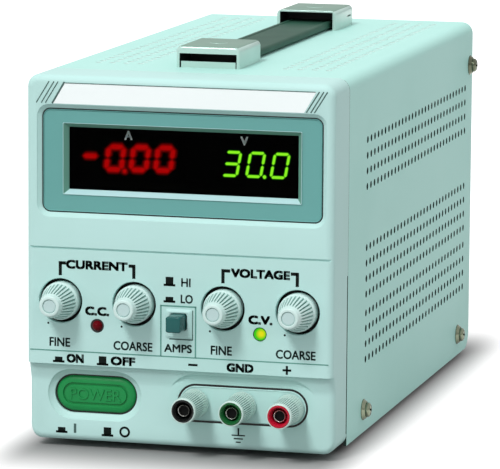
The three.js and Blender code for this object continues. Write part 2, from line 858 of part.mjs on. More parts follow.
// Mains voltage selector: a slider in a shallow bay.
const selectorFace = caseDepth + selectorFlangeThick;
const sliderFloor = selectorFace - selectorBayDepth + clearance;

function voltageSelector() {
  const [x, z] = [selectorPlaceX, selectorHeight];
  const [halfX, halfZ] = [selectorHalfWidth, selectorHalfHeight];
  const [bayX, bayZ] = [selectorBayHalfWidth, selectorBayHalfHeight];
  const body = block(x - halfX, x + halfX, selectorFace - selectorDepth, selectorFace, z - halfZ, z + halfZ);
  const [wide, tall] = [halfX + selectorFlange, halfZ + selectorFlange];
  const flange = block(x - wide, x + wide, caseDepth, selectorFace, z - tall, z + tall);
  const bayFloor = selectorFace - selectorBayDepth;
  const bay = block(x - bayX, x + bayX, bayFloor, selectorFace + overrun, z - bayZ, z + bayZ);
  return body.add(flange).subtract(bay);
}

function selectorSlider() {
  const left = selectorPlaceX - selectorBayHalfWidth + clearance;
  const half = selectorBayHalfHeight - clearance;
  const right = left + sliderHalfWidth * 2;
  return block(left, right, sliderFloor, selectorFace + clearance, selectorHeight - half, selectorHeight + half);
}

// Knobs turn with the shafts of the controls, whose bodies hang on the tray's upright wall.
function knob() {
  const throat = knobSunk - shaftInKnob - clearance;
  const bore = shaftRadius + shaftGap;
  const slope = (knobBaseRadius - knobFrontRadius) / knobReach;
  const radiusAt = (along) => knobBaseRadius - slope * along;
  const geometry = turned([
    [0, knobDiscDepth - knobReach],
    [knobDiscRadius, knobDiscDepth - knobReach],
    [knobDiscRadius, -knobReach],
    [knobFrontRadius - knobRim, -knobReach],
    [knobFrontRadius, knobRim - knobReach],
    [radiusAt(knobFluteEnd + knobRim), -knobFluteEnd - knobRim],
    [radiusAt(knobFluteEnd), -knobFluteEnd],
    [radiusAt(knobFluteStart), -knobFluteStart],
    [knobBaseRadius, -knobRim],
    [knobBaseRadius, knobSunk],
    [bore, knobSunk],
    [bore, throat],
    [0, throat],
  ], knobFlutes * 2);
  const edge = knobRim / 2;
  const [from, to] = [-knobFluteEnd - edge, edge - knobFluteStart];
  return solid(fluted(geometry, knobFlutes, knobFluteDepth, from, to, knobFrontRadius));
}

function controlShaft() {
  return rodY(shaftRadius, knobSunk - shaftInKnob, trayBack + shaftInPot, 0, 0, knobFlutes * 2);
}

function controlBody() {
  const bore = shaftRadius + shaftGap;
  const tip = trayFront - bushingFlank;
  return solid(turned([
    [0, trayBack + shaftInPot + clearance],
    [bore, trayBack + shaftInPot + clearance],
    [bore, tip],
    [bushingRadius, tip],
    [bushingRadius, trayFront - bushingNutThick],
    [bushingNutRadius, trayFront - bushingNutThick],
    [bushingNutRadius, trayFront],
    [bushingRadius, trayFront],
    [bushingRadius, trayBack],
    [potRadius, trayBack],
    [potRadius, trayBack + potDepth],
    [0, trayBack + potDepth],
  ], smallSegments));
}

// Indicator lamps: domed, held by a rim behind the moulding.
function lamp() {
  const points = [];
  for (let i = 0; i <= cornerSegments; i += 1) {
    const turn = (i / cornerSegments) * Math.PI / 2;
    points.push([lampRadius * Math.sin(turn), lampRadius - lampReach - lampRadius * Math.cos(turn)]);
  }
  points.push([lampRadius, bezelWall], [lampFlangeRadius, bezelWall]);
  const rimBack = bezelWall + lampFlangeThick;
  points.push([lampFlangeRadius, rimBack], [lampRadius, rimBack]);
  points.push([lampRadius, rimBack + lampTail], [0, rimBack + lampTail]);
  return solid(turned(points, smallSegments));
}

// Push buttons: a cap in front of the tray's wall and a stem that enters the switch behind.
function stem(from) {
  return block(-stemHalf, stemHalf, from, trayBack + stemInSwitch, -stemHalf, stemHalf);
}

function rangeButton() {
  const outline = roundedRectangle(rangeButtonHalfWidth, rangeButtonHalfHeight, rangeButtonCorner, 0, 0);
  const rear = trayFront - clearance - rangeTravel;
  const cap = frontBevelled(outline, -rangeReach, rear, rangeButtonEdge, rangeButtonEdge, 2);
  return cap.add(stem(rear - overrun));
}

function powerButton() {
  const rear = trayFront - clearance;
  const outline = stadium(powerHalfLength, powerHalfHeight, 0, 0);
  const shoulder = powerFaceSet + powerBevelDepth;
  const front = tapered(outline, powerFaceSet, shoulder, powerBevel, true);
  const cap = front.add(extrudeY(outline, shoulder, rear));
  return cap.add(stem(rear - overrun));
}

function pushSwitch(half, travel) {
  const bore = stemHalf + clearance;
  const boreEnd = trayBack + stemInSwitch + travel + clearance;
  const body = block(-half, half, trayBack, trayBack + switchDepth, -half, half);
  return body.subtract(block(-bore, bore, trayBack - overrun, boreEnd, -bore, bore));
}

// Output terminals: a metal stud with its nut, a ribbed sleeve and a coloured insert.
const shoulderFront = platformFace - studShoulderThick;

function terminalStud() {
  const floor = studSocketDepth - studReach;
  return solid(turned([
    [0, floor],
    [studSocketRadius, floor],
    [studSocketRadius, -studReach],
    [studRadius, -studReach],
    [studRadius, shoulderFront],
    [studShoulderRadius, shoulderFront],
    [studShoulderRadius, platformFace],
    [studRadius, platformFace],
    [studRadius, trayBack],
    [studNutRadius, trayBack],
    [studNutRadius, trayBack + studNutThick],
    [studRadius, trayBack + studNutThick],
    [studRadius, trayBack + studNutThick + studTail],
    [0, trayBack + studNutThick + studTail],
  ], smallSegments));
}

function terminalSleeve() {
  const rear = shoulderFront - clearance;
  const floor = insertDepth + clearance - sleeveReach;
  const bore = studRadius + clearance;
  const seat = insertRadius + shaftGap;
  const share = (rear - sleeveBand) / (rear + sleeveReach);
  const bandRadius = sleeveBaseRadius - (sleeveBaseRadius - sleeveFrontRadius) * (1 - share);
  const points = [
    [bore, rear],
    [bore, floor],
    [seat, floor],
    [seat, -sleeveReach],
    [sleeveFrontRadius, -sleeveReach],
    [sleeveFrontRadius, sleeveBand - sleeveReach],
    [sleeveFrontRadius, sleeveBand + sleeveEase - sleeveReach],
    [bandRadius, rear - sleeveBand - sleeveEase],
    [sleeveBaseRadius, rear - sleeveBand],
    [sleeveBaseRadius, rear],
    [bore, rear],
  ];
  const geometry = turned(points, sleeveFlutes * 2);
  const [from, to] = [sleeveBand + sleeveEase / 2 - sleeveReach, rear - sleeveBand - sleeveEase / 2];
  return solid(fluted(geometry, sleeveFlutes, sleeveFluteDepth, from, to, insertRadius + clearance));
}

function terminalInsert() {
  const front = -sleeveReach - insertProud;
  const rear = insertDepth - sleeveReach;
  const bore = studRadius + clearance;
  return solid(turned([
    [bore, rear],
    [bore, front],
    [insertRadius, front],
    [insertRadius, rear],
    [bore, rear],
  ], sleeveFlutes * 2));
}

// Feet, and the strap handle between its two end caps.
function foot() {
  const geometry = turned([
    [0, -footDrop],
    [footRadius * footWaistShare, -footDrop],
    [footRadius, 0],
    [footRadius, floorHeight],
    [0, floorHeight],
  ], roundSegments);
  geometry.rotateX(Math.PI / 2);
  return solid(geometry);
}

function capOutline(inset, topInset) {
  const halfTall = capHeight - topInset / 2;
  const corner = Math.max(capRound - inset, clearance);
  return roundedRectangle(capHalfWidth - inset, halfTall, corner, 0, caseHeight - topInset / 2);
}

// The cap is an arched shell, with a lip at the foot of its outer end and a rolled rim above it.
function handleCap(outerEnd, innerEnd) {
  const [front, rear] = [Math.min(outerEnd, innerEnd), Math.max(outerEnd, innerEnd)];
  const inside = capHalfWidth - capWall;
  const lipEnd = outerEnd + Math.sign(innerEnd - outerEnd) * capWall;
  const middle = (front + rear) / 2;
  let cap = extrudeY(capOutline(0, 0), front, rear);
  cap = cap.subtract(extrudeY(capOutline(capWall, capTop), front - overrun, rear + overrun));
  cap = cap.subtract(block(-caseWidth, caseWidth, front - overrun, rear + overrun, 0, caseHeight));
  const [lipFront, lipRear] = [Math.min(outerEnd, lipEnd), Math.max(outerEnd, lipEnd)];
  cap = cap.add(block(-inside, inside, lipFront, lipRear, caseHeight, caseHeight + capLip));
  const top = caseHeight + capHeight;
  cap = cap.add(block(-inside, inside, lipFront, lipRear, top - capRimTall, top - capTop / 2));
  return cap.add(rodZ(capDimpleRadius, top - capDimpleRise, top + capDimpleRise, 0, middle));
}

// The strap lies low between the caps, and a stop at each end fills the height of its cap.
function handleStrap() {
  const [front, rear] = [handleFront + strapInset, handleRear - strapInset];
  const low = caseHeight + strapLift;
  const high = caseHeight + capHeight - capTop - clearance;
  const outline = roundedRectangle(strapHalfWidth, strapThick / 2, strapRound, 0, low + strapThick / 2);
  let strap = extrudeY(outline, front, rear);
  [[front, front + strapStopLength], [rear - strapStopLength, rear]].forEach(([start, end]) => {
    strap = strap.add(block(-strapHalfWidth, strapHalfWidth, start, end, low, high));
  });
  return strap;
}

// Transformer: a laminated core with a winding round its middle leg.
const windowLow = floorTop + coreYoke;
const windowHigh = floorTop + coreHeight - coreYoke;
const coreBack = coreFront + coreStack;

function transformerCore() {
  const outer = coreHalfWidth - coreYoke;
  const core = block(-coreHalfWidth, coreHalfWidth, coreFront, coreBack, floorTop, floorTop + coreHeight);
  const [front, rear] = [coreFront - overrun, coreBack + overrun];
  const left = block(-outer, -coreLeg, front, rear, windowLow, windowHigh);
  const right = block(coreLeg, outer, front, rear, windowLow, windowHigh);
  return core.subtract(left).subtract(right);
}

function transformerWinding() {
  const outer = coreHalfWidth - coreYoke - windingGap;
  const leg = coreLeg + windingGap;
  const [front, rear] = [coreFront - windingOut, coreBack + windingOut];
  const [low, high] = [windowLow + windingGap, windowHigh - windingGap];
  const coil = block(-outer, outer, front, rear, low, high);
  const [near, far] = [coreFront - windingGap, coreBack + windingGap];
  return coil.subtract(block(-leg, leg, near, far, low - overrun, high + overrun));
}

// Main board on its posts, with the reservoir capacitor and the rectifier on top.
const boardTop = floorTop + standoffHeight + boardThick;

function mainBoard() {
  const low = floorTop + standoffHeight;
  let board = block(-mainBoardHalfWidth, mainBoardHalfWidth, mainBoardFront, mainBoardRear, low, boardTop);
  const postX = mainBoardHalfWidth - standoffInset;
  [-postX, postX].forEach((x) => {
    [mainBoardFront + standoffInset, mainBoardRear - standoffInset].forEach((y) => {
      board = board.add(rodZ(standoffRadius, floorTop, boardTop, x, y));
    });
  });
  return board;
}

function reservoirCapacitor() {
  const high = boardTop + capacitorTall;
  return rodZ(capacitorRadius, boardTop, high, capacitorPlaceX, capacitorPlaceY, roundSegments);
}

function bridgeRectifier() {
  const half = rectifierSide / 2;
  const [x, y] = [rectifierPlaceX, rectifierPlaceY];
  return block(x - half, x + half, y - half, y + half, boardTop, boardTop + rectifierTall);
}

// Assembly

function addCase() {
  place('front_bezel', frontBezel(), mintPlastic);
  place('top_cover', topCover(), mintPaint);
  place('bottom_chassis', bottomChassis(), steel);
  place('rear_panel', rearPanel(), mintPaint);
  place('heat_sink', heatSink(), blackAnodised);
  ['left', 'right'].forEach((side) => {
    const sign = side === 'left' ? -1 : 1;
    screwPlaces.forEach(([name, y, z]) => {
      place(`cover_screw_${side}_${name}`, coverScrew(sign), chrome, sign * halfWidth, y, z);
    });
    const footX = sign * (halfWidth - footInset);
    place(`foot_front_${side}`, foot(), rubber, footX, footFrontPlace, 0);
    place(`foot_rear_${side}`, foot(), rubber, footX, footRearPlace, 0);
  });
}

function addDisplay() {
  place('display_frame', displayFrame(), tealPlastic);
  place('display_window', displayWindow(), smokedAcrylic);
  place('current_display', digitModule(currentModuleLeft, currentModuleRight, currentModuleTall), blackPlastic);
  place('voltage_display', digitModule(voltageModuleLeft, voltageModuleRight, voltageModuleTall), blackPlastic);
  place('display_board', displayBoard(), boardGreen);
}

function addControls() {
  const names = ['current_fine', 'current_coarse', 'voltage_fine', 'voltage_coarse'];
  names.forEach((name, i) => {
    place(`knob_${name}`, knob(), knobPlastic, controlPlaces[i], 0, controlHeight);
    place(`shaft_${name}`, controlShaft(), steel, controlPlaces[i], 0, controlHeight);
    place(`control_${name}`, controlBody(), steel, controlPlaces[i], 0, controlHeight);
  });
  place('lamp_constant_current', lamp(), lampRed, -lampPlace, 0, lampHeight);
  place('lamp_constant_voltage', lamp(), lampGreen, lampPlace, 0, lampHeight);
  place('range_button', rangeButton(), tealPlastic, rangePlaceX, 0, rangeHeight);
  const rangeSwitch = pushSwitch(stemHalf + clearance + switchWall, rangeTravel);
  place('range_switch', rangeSwitch, blackPlastic, rangePlaceX, 0, rangeHeight);
  place('power_button', powerButton(), greenPlastic, powerPlaceX, 0, powerHeight);
  place('power_switch', pushSwitch(powerSwitchHalf, 0), blackPlastic, powerPlaceX, 0, powerHeight);
}

function addTerminals() {
  const names = ['negative', 'ground', 'positive'];
  const colours = [blackPlastic, greenPlastic, redPlastic];
  names.forEach((name, i) => {
    place(`terminal_stud_${name}`, terminalStud(), chrome, terminalPlaces[i], 0, terminalHeight);
    place(`terminal_sleeve_${name}`, terminalSleeve(), knobPlastic, terminalPlaces[i], 0, terminalHeight);
    place(`terminal_insert_${name}`, terminalInsert(), colours[i], terminalPlaces[i], 0, terminalHeight);
  });
}

function addRear() {
  place('mains_inlet', mainsInlet(), blackPlastic);
  place('fuse_drawer', fuseDrawer(), blackPlastic);
  place('voltage_selector', voltageSelector(), blackPlastic);
  place('selector_slider', selectorSlider(), redPlastic);
}

function addHandle() {
  place('handle_cap_front', handleCap(handleFront, handleFront + capLength), chrome);
  place('handle_cap_rear', handleCap(handleRear, handleRear - capLength), chrome);
  place('handle_strap', handleStrap(), strapVinyl);
}

function addInside() {
  place('transformer_core', transformerCore(), laminations);
  place('transformer_winding', transformerWinding(), tapeYellow);
  place('main_board', mainBoard(), boardGreen);
  place('reservoir_capacitor', reservoirCapacitor(), blackPlastic);
  place('bridge_rectifier', bridgeRectifier(), blackPlastic);
}

addCase();
addDisplay();
addControls();
addTerminals();
addRear();
addHandle();
addInside();

// The origin is on the table, under the middle of the whole object.
const group = new THREE.Group();
const middleY = (caseDepth + sinkReach - knobReach) / 2;
caseGroup.position.set(0, -middleY, footDrop);
group.add(caseGroup);

export default group;
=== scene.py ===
"""Looks of a bench power supply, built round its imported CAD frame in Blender 4.5.

Lengths below are in millimetres, and `at` turns them into places in the frame.
"""
import math

import bmesh
import bpy
from mathutils import Matrix, Vector


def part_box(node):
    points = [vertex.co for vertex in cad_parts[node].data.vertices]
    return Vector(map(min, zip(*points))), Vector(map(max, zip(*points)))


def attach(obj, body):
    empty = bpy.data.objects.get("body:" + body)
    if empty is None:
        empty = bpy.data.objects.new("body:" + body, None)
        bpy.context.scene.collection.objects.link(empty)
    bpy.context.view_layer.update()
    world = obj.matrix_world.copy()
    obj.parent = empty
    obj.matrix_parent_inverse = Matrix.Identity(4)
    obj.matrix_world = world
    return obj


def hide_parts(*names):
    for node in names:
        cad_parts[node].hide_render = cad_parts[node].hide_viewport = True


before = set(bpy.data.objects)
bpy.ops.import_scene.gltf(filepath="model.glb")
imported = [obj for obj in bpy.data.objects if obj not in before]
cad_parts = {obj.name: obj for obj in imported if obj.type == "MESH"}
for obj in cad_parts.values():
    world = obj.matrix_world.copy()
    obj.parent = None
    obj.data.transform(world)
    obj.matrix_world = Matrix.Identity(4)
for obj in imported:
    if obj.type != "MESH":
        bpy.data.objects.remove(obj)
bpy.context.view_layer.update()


# Camera
# The view is the photograph's: a long lens, to the right of the front and a little above it.
# Places are counted from the middle of the upper front face, at the case's lower edge.
MM = 0.001
moulding_depth = 25.0
FRONT_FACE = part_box("front_bezel")[1].y - moulding_depth * MM
CASE_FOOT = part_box("front_bezel")[0].z
camera_place = (439.99, -1544.92, 332.39)
camera_yaw = math.radians(-14.874)
camera_pitch = math.radians(-8.659)
camera_roll = math.radians(0.384)
sensor_width = 36.0
focal_length = 291.92
far_limit = 50


def at(x, y, z):
    return Vector((x * MM, FRONT_FACE + y * MM, CASE_FOOT + z * MM))


def placed(name, data):
    """An object in the scene that holds this data."""
    holder = bpy.data.objects.new(name, data)
    bpy.context.scene.collection.objects.link(holder)
    return holder


def add_camera():
    level = math.cos(camera_pitch)
    side, ahead = math.sin(camera_yaw), math.cos(camera_yaw)
    forward = Vector((side * level, ahead * level, math.sin(camera_pitch)))
    across = Vector((ahead, -side, 0))
    upward = across.cross(forward)
    right = across * math.cos(camera_roll) + upward * math.sin(camera_roll)
    up = upward * math.cos(camera_roll) - across * math.sin(camera_roll)
    data = bpy.data.cameras.new("photo_camera")
    data.sensor_fit = "HORIZONTAL"
    data.sensor_width = sensor_width
    data.lens = focal_length
    data.clip_end = far_limit
    camera = placed("photo_camera", data)
    turn = Matrix((right, up, -forward)).transposed().to_4x4()
    camera.matrix_world = Matrix.Translation(at(*camera_place)) @ turn
    bpy.context.scene.camera = camera


add_camera()


# Room
# A pale floor under a soft studio light: a dome that is brighter overhead, and one
# wide lamp from the upper left that gives the knobs their shadows. Round the object the
# floor is painted darker, a painted shadow that fades out to white.
key_direction = Vector((-0.179, -0.662, 0.728))
key_strength = 1.75
key_angle = math.radians(14)
dome_bands = ((0.0, 0.5), (0.12, 0.62), (0.35, 0.95), (0.75, 0.78))
floor_reach = 8.0
floor_bounce, floor_tone = 0.34, 0.27
paper_roughness, paper_shine = 0.9, 0.1
# Near the object the camera sees the floor's grey tone, and a white glow fades in with distance from the
# footprint: a painted shadow.
shadow_half = (0.058, 0.125)
shadow_squeeze, shadow_end = 3.0, 0.08


def add_node(tree, kind, values=(), feeds=(), **settings):
    """A shader node with its settings, its fixed inputs and the outputs that feed it."""
    node = tree.nodes.new(kind)
    for name, setting in settings.items():
        setattr(node, name, setting)
    for socket, value in values:
        node.inputs[socket].default_value = value
    for socket, source in feeds:
        tree.links.new(source, node.inputs[socket])
    return node


def grey(level):
    return (level, level, level, 1)


def add_floor():
    mesh = bpy.data.meshes.new("floor")
    corners = [(-1, -1), (1, -1), (1, 1), (-1, 1)]
    mesh.from_pydata([(x * floor_reach, y * floor_reach, 0) for x, y in corners], [], [(0, 1, 2, 3)])
    mesh.materials.append(floor_paper())
    placed("floor", mesh)


def seen_directly(tree):
    """One where a camera, mirror or glass ray looks at the surface, and nought elsewhere."""
    path = tree.nodes.new("ShaderNodeLightPath")
    seen = path.outputs["Is Camera Ray"]
    for ray in ("Is Glossy Ray", "Is Transmission Ray"):
        pair = ((0, seen), (1, path.outputs[ray]))
        seen = add_node(tree, "ShaderNodeMath", feeds=pair, operation="MAXIMUM").outputs[0]
    return seen


def floor_paper():
    """Paper painted darker round the object, a painted shadow over the real one, that glows pure white
    further out.
    """
    material = bpy.data.materials.new("floor_paper")
    material.use_nodes = True
    tree = material.node_tree
    paper = tree.nodes["Principled BSDF"]
    paper.inputs["Roughness"].default_value = paper_roughness
    paper.inputs["Specular IOR Level"].default_value = paper_shine
    paper.inputs["Emission Color"].default_value = grey(1)
    seen = seen_directly(tree)
    tones = ((6, grey(floor_bounce)), (7, grey(floor_tone)))
    tone = add_node(tree, "ShaderNodeMix", tones, ((0, seen),), data_type="RGBA")
    tree.links.new(tone.outputs[2], paper.inputs["Base Color"])
    away = tree.nodes.new("ShaderNodeNewGeometry").outputs["Position"]
    steps = (
        ("ABSOLUTE", ()),
        ("SUBTRACT", ((1, (*shadow_half, 0)),)),
        ("MAXIMUM", ((1, (0, 0, 0)),)),
        ("MULTIPLY", ((1, (shadow_squeeze, 1, 0)),)),
    )
    for operation, values in steps:
        step = add_node(tree, "ShaderNodeVectorMath", values, ((0, away),), operation=operation)
        away = step.outputs[0]
    length = add_node(tree, "ShaderNodeVectorMath", feeds=((0, away),), operation="LENGTH")
    ends = (("From Min", 0), ("From Max", shadow_end))
    distance = (("Value", length.outputs["Value"]),)
    fade = add_node(tree, "ShaderNodeMapRange", ends, distance, interpolation_type="SMOOTHSTEP")
    pair = ((0, fade.outputs["Result"]), (1, seen))
    share = add_node(tree, "ShaderNodeMath", feeds=pair, operation="MULTIPLY")
    tree.links.new(share.outputs[0], paper.inputs["Emission Strength"])
    return material


def add_key_lamp():
    lamp = bpy.data.lights.new("key_lamp", "SUN")
    lamp.energy = key_strength
    lamp.angle = key_angle
    turn = key_direction.to_track_quat("Z", "Y").to_matrix()
    placed("key_lamp", lamp).matrix_world = turn.to_4x4()


def add_dome():
    world = bpy.data.worlds.new("studio_dome")
    bpy.context.scene.world = world
    world.use_nodes = True
    tree = world.node_tree
    place = tree.nodes.new("ShaderNodeTexCoord")
    split = add_node(tree, "ShaderNodeSeparateXYZ", feeds=((0, place.outputs["Generated"]),))
    bands = add_node(tree, "ShaderNodeValToRGB", feeds=(("Fac", split.outputs["Z"]),))
    stops = bands.color_ramp.elements
    while len(stops) < len(dome_bands):
        stops.new(1.0)
    for stop, (height, level) in zip(stops, dome_bands):
        stop.position = height
        stop.color = grey(level)
    path = tree.nodes.new("ShaderNodeLightPath")
    feeds = ((0, path.outputs["Is Camera Ray"]), (6, bands.outputs["Color"]))
    white = add_node(tree, "ShaderNodeMix", ((7, grey(1)),), feeds, data_type="RGBA")
    tree.links.new(white.outputs[2], tree.nodes["Background"].inputs["Color"])


add_floor()
add_key_lamp()
add_dome()
bpy.context.scene.view_settings.view_transform = "Standard"


# Front moulding
# The front is one injection-moulded shell of pale mint plastic: an upper face with wells
# for the knobs, a lip, and a lower face set back with a dish and a platform. The moulding
# slides over the front of the steel tray.
case_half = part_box("front_bezel")[1].x / MM
case_tall = (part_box("front_bezel")[1].z - CASE_FOOT) / MM
corner_round = 5.0
edge_round = 3.0
wall = 3.0
lower_face = 4.0
lip_height = 32.2
lip_step = 2.0
slope_height = 8.2
groove_height, groove_half, groove_depth = 79.9, 0.4, 0.8
least_corner = 0.4
seam_gap = 1.1
seam_low, seam_high = 5.0, 70.0
# Cutters run past what they cut, and fitted pieces keep a hair of room.
past, hair = 2.0, 0.05
display_x, display_z = 0.7, 115.4
frame_half_x, frame_half_z, frame_corner = 58.0, 20.7, 3.0
knob_places = [-49.5, -18.5, 18.5, 49.5]
knob_z = 58.3
well_radius, well_ease, lamp_ease = 9.1, 0.35, 0.2
pocket_bevel, pocket_ease = 1.9, 0.5
lamp_x, lamp_z, lamp_radius, lamp_gap = 34.0, 48.7, 2.5, 0.3
dark_lamp_radius = 2.15
range_x, range_z = 0.3, 52.2
range_half_x, range_half_z = 2.9, 2.75
range_gap, range_round = 0.6, 0.9
surround_half_x, surround_half_z, surround_z = 5.6, 6.0, 51.25
collar_reach = 0.8
power_x, power_z, power_half_x, power_half_z = -36.3, 19.3, 17.1, 7.65
dish_slope, dish_ease = 2.6, 0.3
button_gap, guide_wall = 0.35, 1.05
posts_x, posts_z, posts_pitch = 25.8, 18.4, 19.8
post_places = [posts_x - posts_pitch, posts_x, posts_x + posts_pitch]
platform_half_x, platform_half_z = 27.2, 7.85
platform_gap, platform_edge, platform_drop = 0.75, 0.45, 0.25
seat_depth = 5.0
stud_hole_radius, sleeve_hole_radius = 3.2, 5.5
tray_front = 9.5
crease_limit = math.radians(32)


def drawn_mesh(name, points, faces):
    mesh = bpy.data.meshes.new(name)
    mesh.from_pydata([at(*point) for point in points], [], faces)
    return mesh


def new_piece(name, points, faces):
    mesh = drawn_mesh(name, points, faces)
    shape = bmesh.new()
    shape.from_mesh(mesh)
    bmesh.ops.recalc_face_normals(shape, faces=shape.faces)
    shape.to_mesh(mesh)
    shape.free()
    return placed(name, mesh)


def loft(name, loops, closed=False):
    """A skin through loops of equally many points, capped at both ends or closed on itself."""
    count = len(loops[0])
    points = [point for loop in loops for point in loop]
    faces = []
    last = len(loops) if closed else len(loops) - 1
    for ring in range(last):
        near, far = ring * count, ((ring + 1) % len(loops)) * count
        for i in range(count):
            j = (i + 1) % count
            faces.append((near + i, near + j, far + j, far + i))
    if not closed:
        faces.append(tuple(reversed(range(count))))
        faces.append(tuple(range(len(points) - count, len(points))))
    return new_piece(name, points, faces)


def depth_span(node):
    """Where a CAD node starts and ends along the depth, in millimetres behind the front face."""
    low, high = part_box(node)
    return (low.y - FRONT_FACE) / MM, (high.y - FRONT_FACE) / MM


def quarter(steps):
    return [math.pi / 2 * i / steps for i in range(steps + 1)]


def circle(steps):
    return [2 * math.pi * i / steps for i in range(steps)]


def rounded(half_x, half_z, radius, x, z, steps=8):
    points = []
    for side_x, side_z, start in ((1, 1, 0), (-1, 1, 90), (-1, -1, 180), (1, -1, 270)):
        for i in range(steps + 1):
            turn = math.radians(start + 90 * i / steps)
            away_x = side_x * (half_x - radius) + radius * math.cos(turn)
            away_z = side_z * (half_z - radius) + radius * math.sin(turn)
            points.append((x + away_x, z + away_z))
    return points


def stadium(half_x, half_z, x, z):
    return rounded(half_x, half_z, half_z * 0.999, x, z, 12)


def level(outline, y):
    return [(x, y, z) for x, z in outline]


def turned(name, profile, x, z, segments=64, closed=False):
    """A lathed shape about an axis along Y: the profile lists radius and depth."""
    loops = []
    for radius, y in profile:
        ring = [(radius * math.sin(turn), radius * math.cos(turn)) for turn in circle(segments)]
        loops.append([(x + across, y, z + up) for across, up in ring])
    return loft(name, loops, closed)


def block(name, x0, x1, y0, y1, z0, z1):
    corners = [(x0, z0), (x1, z0), (x1, z1), (x0, z1)]
    return loft(name, [level(corners, y0), level(corners, y1)])


def carve(piece, cutters):
    for cutter in cutters:
        step = piece.modifiers.new("carve", "BOOLEAN")
        step.operation = "DIFFERENCE"
        step.solver = "EXACT"
        step.object = cutter
    bpy.context.view_layer.update()
    held = piece.evaluated_get(bpy.context.evaluated_depsgraph_get())
    mesh = bpy.data.meshes.new_from_object(held)
    piece.modifiers.clear()
    piece.data = mesh
    for cutter in cutters:
        bpy.data.objects.remove(cutter)
    return piece


def joined(piece, others):
    shape = bmesh.new()
    shape.from_mesh(piece.data)
    for other in others:
        shape.from_mesh(other.data)
        bpy.data.objects.remove(other)
    shape.to_mesh(piece.data)
    shape.free()
    return piece


def dress(piece, body, slot, material, *nodes):
    """Gives a finished piece its material and its body, and hides the CAD nodes that it stands for."""
    piece.data.materials.clear()
    piece.data.materials.append(material)
    piece.data.shade_smooth()
    piece.data.set_sharp_from_angle(angle=crease_limit)
    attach(piece, body)
    if nodes:
        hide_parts(*nodes)
    return piece


def shifted(steps, start):
    """The same steps, counted from another depth."""
    return [(out, start + y) for out, y in steps]


def outlines(shape, steps):
    """Loops of one outline: each step gives its offset and its depth."""
    return [level(shape(out), y) for out, y in steps]


def band(name, shape, inner, outer, y0, y1):
    """A flat ring between two offsets of an outline."""
    steps = ((outer, y0), (inner, y0), (inner, y1), (outer, y1))
    return loft(name, outlines(shape, steps), closed=True)


def easing(radius, steps=5):
    """Offset and depth of a rounded mouth, from the face inwards."""
    return [(radius * (1 - math.sin(turn)), radius * (1 - math.cos(turn))) for turn in quarter(steps)]


def round_mouth(name, radius, x, z, face, depth, ease):
    profile = [(radius + ease, face - past)]
    profile += [(radius + out, face + deep) for out, deep in easing(ease)]
    return turned(name, profile + [(radius, depth)], x, z)


def case_outline(inset):
    corner = max(corner_round - inset, least_corner)
    return rounded(case_half - inset, case_tall / 2 - inset, corner, 0, case_tall / 2)


def upper_shell():
    steps = [(0, moulding_depth)] + easing(edge_round, 7)[::-1]
    shell = loft("front_moulding", outlines(case_outline, steps))
    inside, side, back = case_half - wall, case_half + past, moulding_depth + past
    opening = ((range_gap, -past), (range_gap, wall + past))
    groove = (groove_height - groove_half, groove_height + groove_half)
    cutters = [
        block("below", -side, side, -past, back, -past, lip_height),
        block("inside", -inside, inside, wall, back, 0, case_tall - wall),
        block("groove", -side, side, -past, groove_depth, *groove),
        display_pocket(),
        loft("range_opening", outlines(range_outline, opening)),
    ]
    mouths = [("well", well_radius, x, knob_z, well_ease) for x in knob_places]
    mouths += [("lamp_hole", lamp_radius + lamp_gap, x, lamp_z, lamp_ease) for x in (-lamp_x, lamp_x)]
    for name, radius, x, z, ease in mouths:
        cutters.append(round_mouth(name, radius, x, z, 0, wall + past, ease))
    return carve(shell, cutters + seam_cutters(lip_height - past, seam_high))


def frame_outline(out):
    return rounded(frame_half_x + out, frame_half_z + out, frame_corner + out, display_x, display_z)


def display_pocket():
    steps = [(pocket_bevel + pocket_ease, -past)]
    steps += [(pocket_bevel + out, deep) for out, deep in easing(pocket_ease)]
    steps += [(0.75, 1.4), (0.5, 1.7), (0.5, wall + past)]
    return loft("display_pocket", outlines(frame_outline, steps))


def range_outline(out):
    return rounded(range_half_x + out, range_half_z + out, range_round, range_x, range_z)


def surround_outline(inset):
    half_x, half_z = surround_half_x - inset, surround_half_z - inset
    return rounded(half_x, half_z, range_round, range_x, surround_z)


def range_collar():
    """A low raised frame round the range button."""
    front = -collar_reach
    outside = ((0, hair), (0, -0.1), (0.9, front + 0.05), (1.05, front))
    inside = ((range_gap + 0.4, front), (range_gap, front + 0.3), (range_gap, hair))
    loops = outlines(surround_outline, outside) + outlines(range_outline, inside)
    return loft("range_collar", loops, closed=True)


def seam_cutters(low, high):
    inner, outer = case_half - wall - past, case_half + past
    ends = (moulding_depth - seam_gap, moulding_depth + past)
    sides = (("seam_left", -outer, -inner), ("seam_right", inner, outer))
    return [block(name, x0, x1, *ends, low, high) for name, x0, x1 in sides]


def lower_section(x):
    """Outline in Y and Z of the set-back lower part at one place across the front."""
    past_flat = max(abs(x) - (case_half - edge_round), 0)
    past_corner = max(abs(x) - (case_half - corner_round), 0)
    edge = edge_round - math.sqrt(max(edge_round ** 2 - past_flat ** 2, 0))
    foot = corner_round - math.sqrt(max(corner_round ** 2 - past_corner ** 2, 0))
    points = [(moulding_depth, lip_height)]
    for i in range(9):
        share = i / 8
        smooth = share * share * (3 - 2 * share)
        depth = lip_step + (lower_face - lip_step) * smooth
        points.append((depth + edge, lip_height - slope_height * share))
    for turn in quarter(6):
        across = lower_face + edge + edge_round * (1 - math.cos(turn))
        points.append((across, foot + edge_round * (1 - math.sin(turn))))
    points.append((moulding_depth, foot))
    return [(x, y, z) for y, z in points]


def button_outline(out):
    return stadium(power_half_x + out, power_half_z + out, power_x, power_z)


def seat_outline(out):
    return stadium(platform_half_x + out, platform_half_z + out, posts_x, posts_z)


def post_holes(radius):
    profile = [(radius, 0), (radius, tray_front)]
    return [turned("post_hole", profile, x, posts_z) for x in post_places]


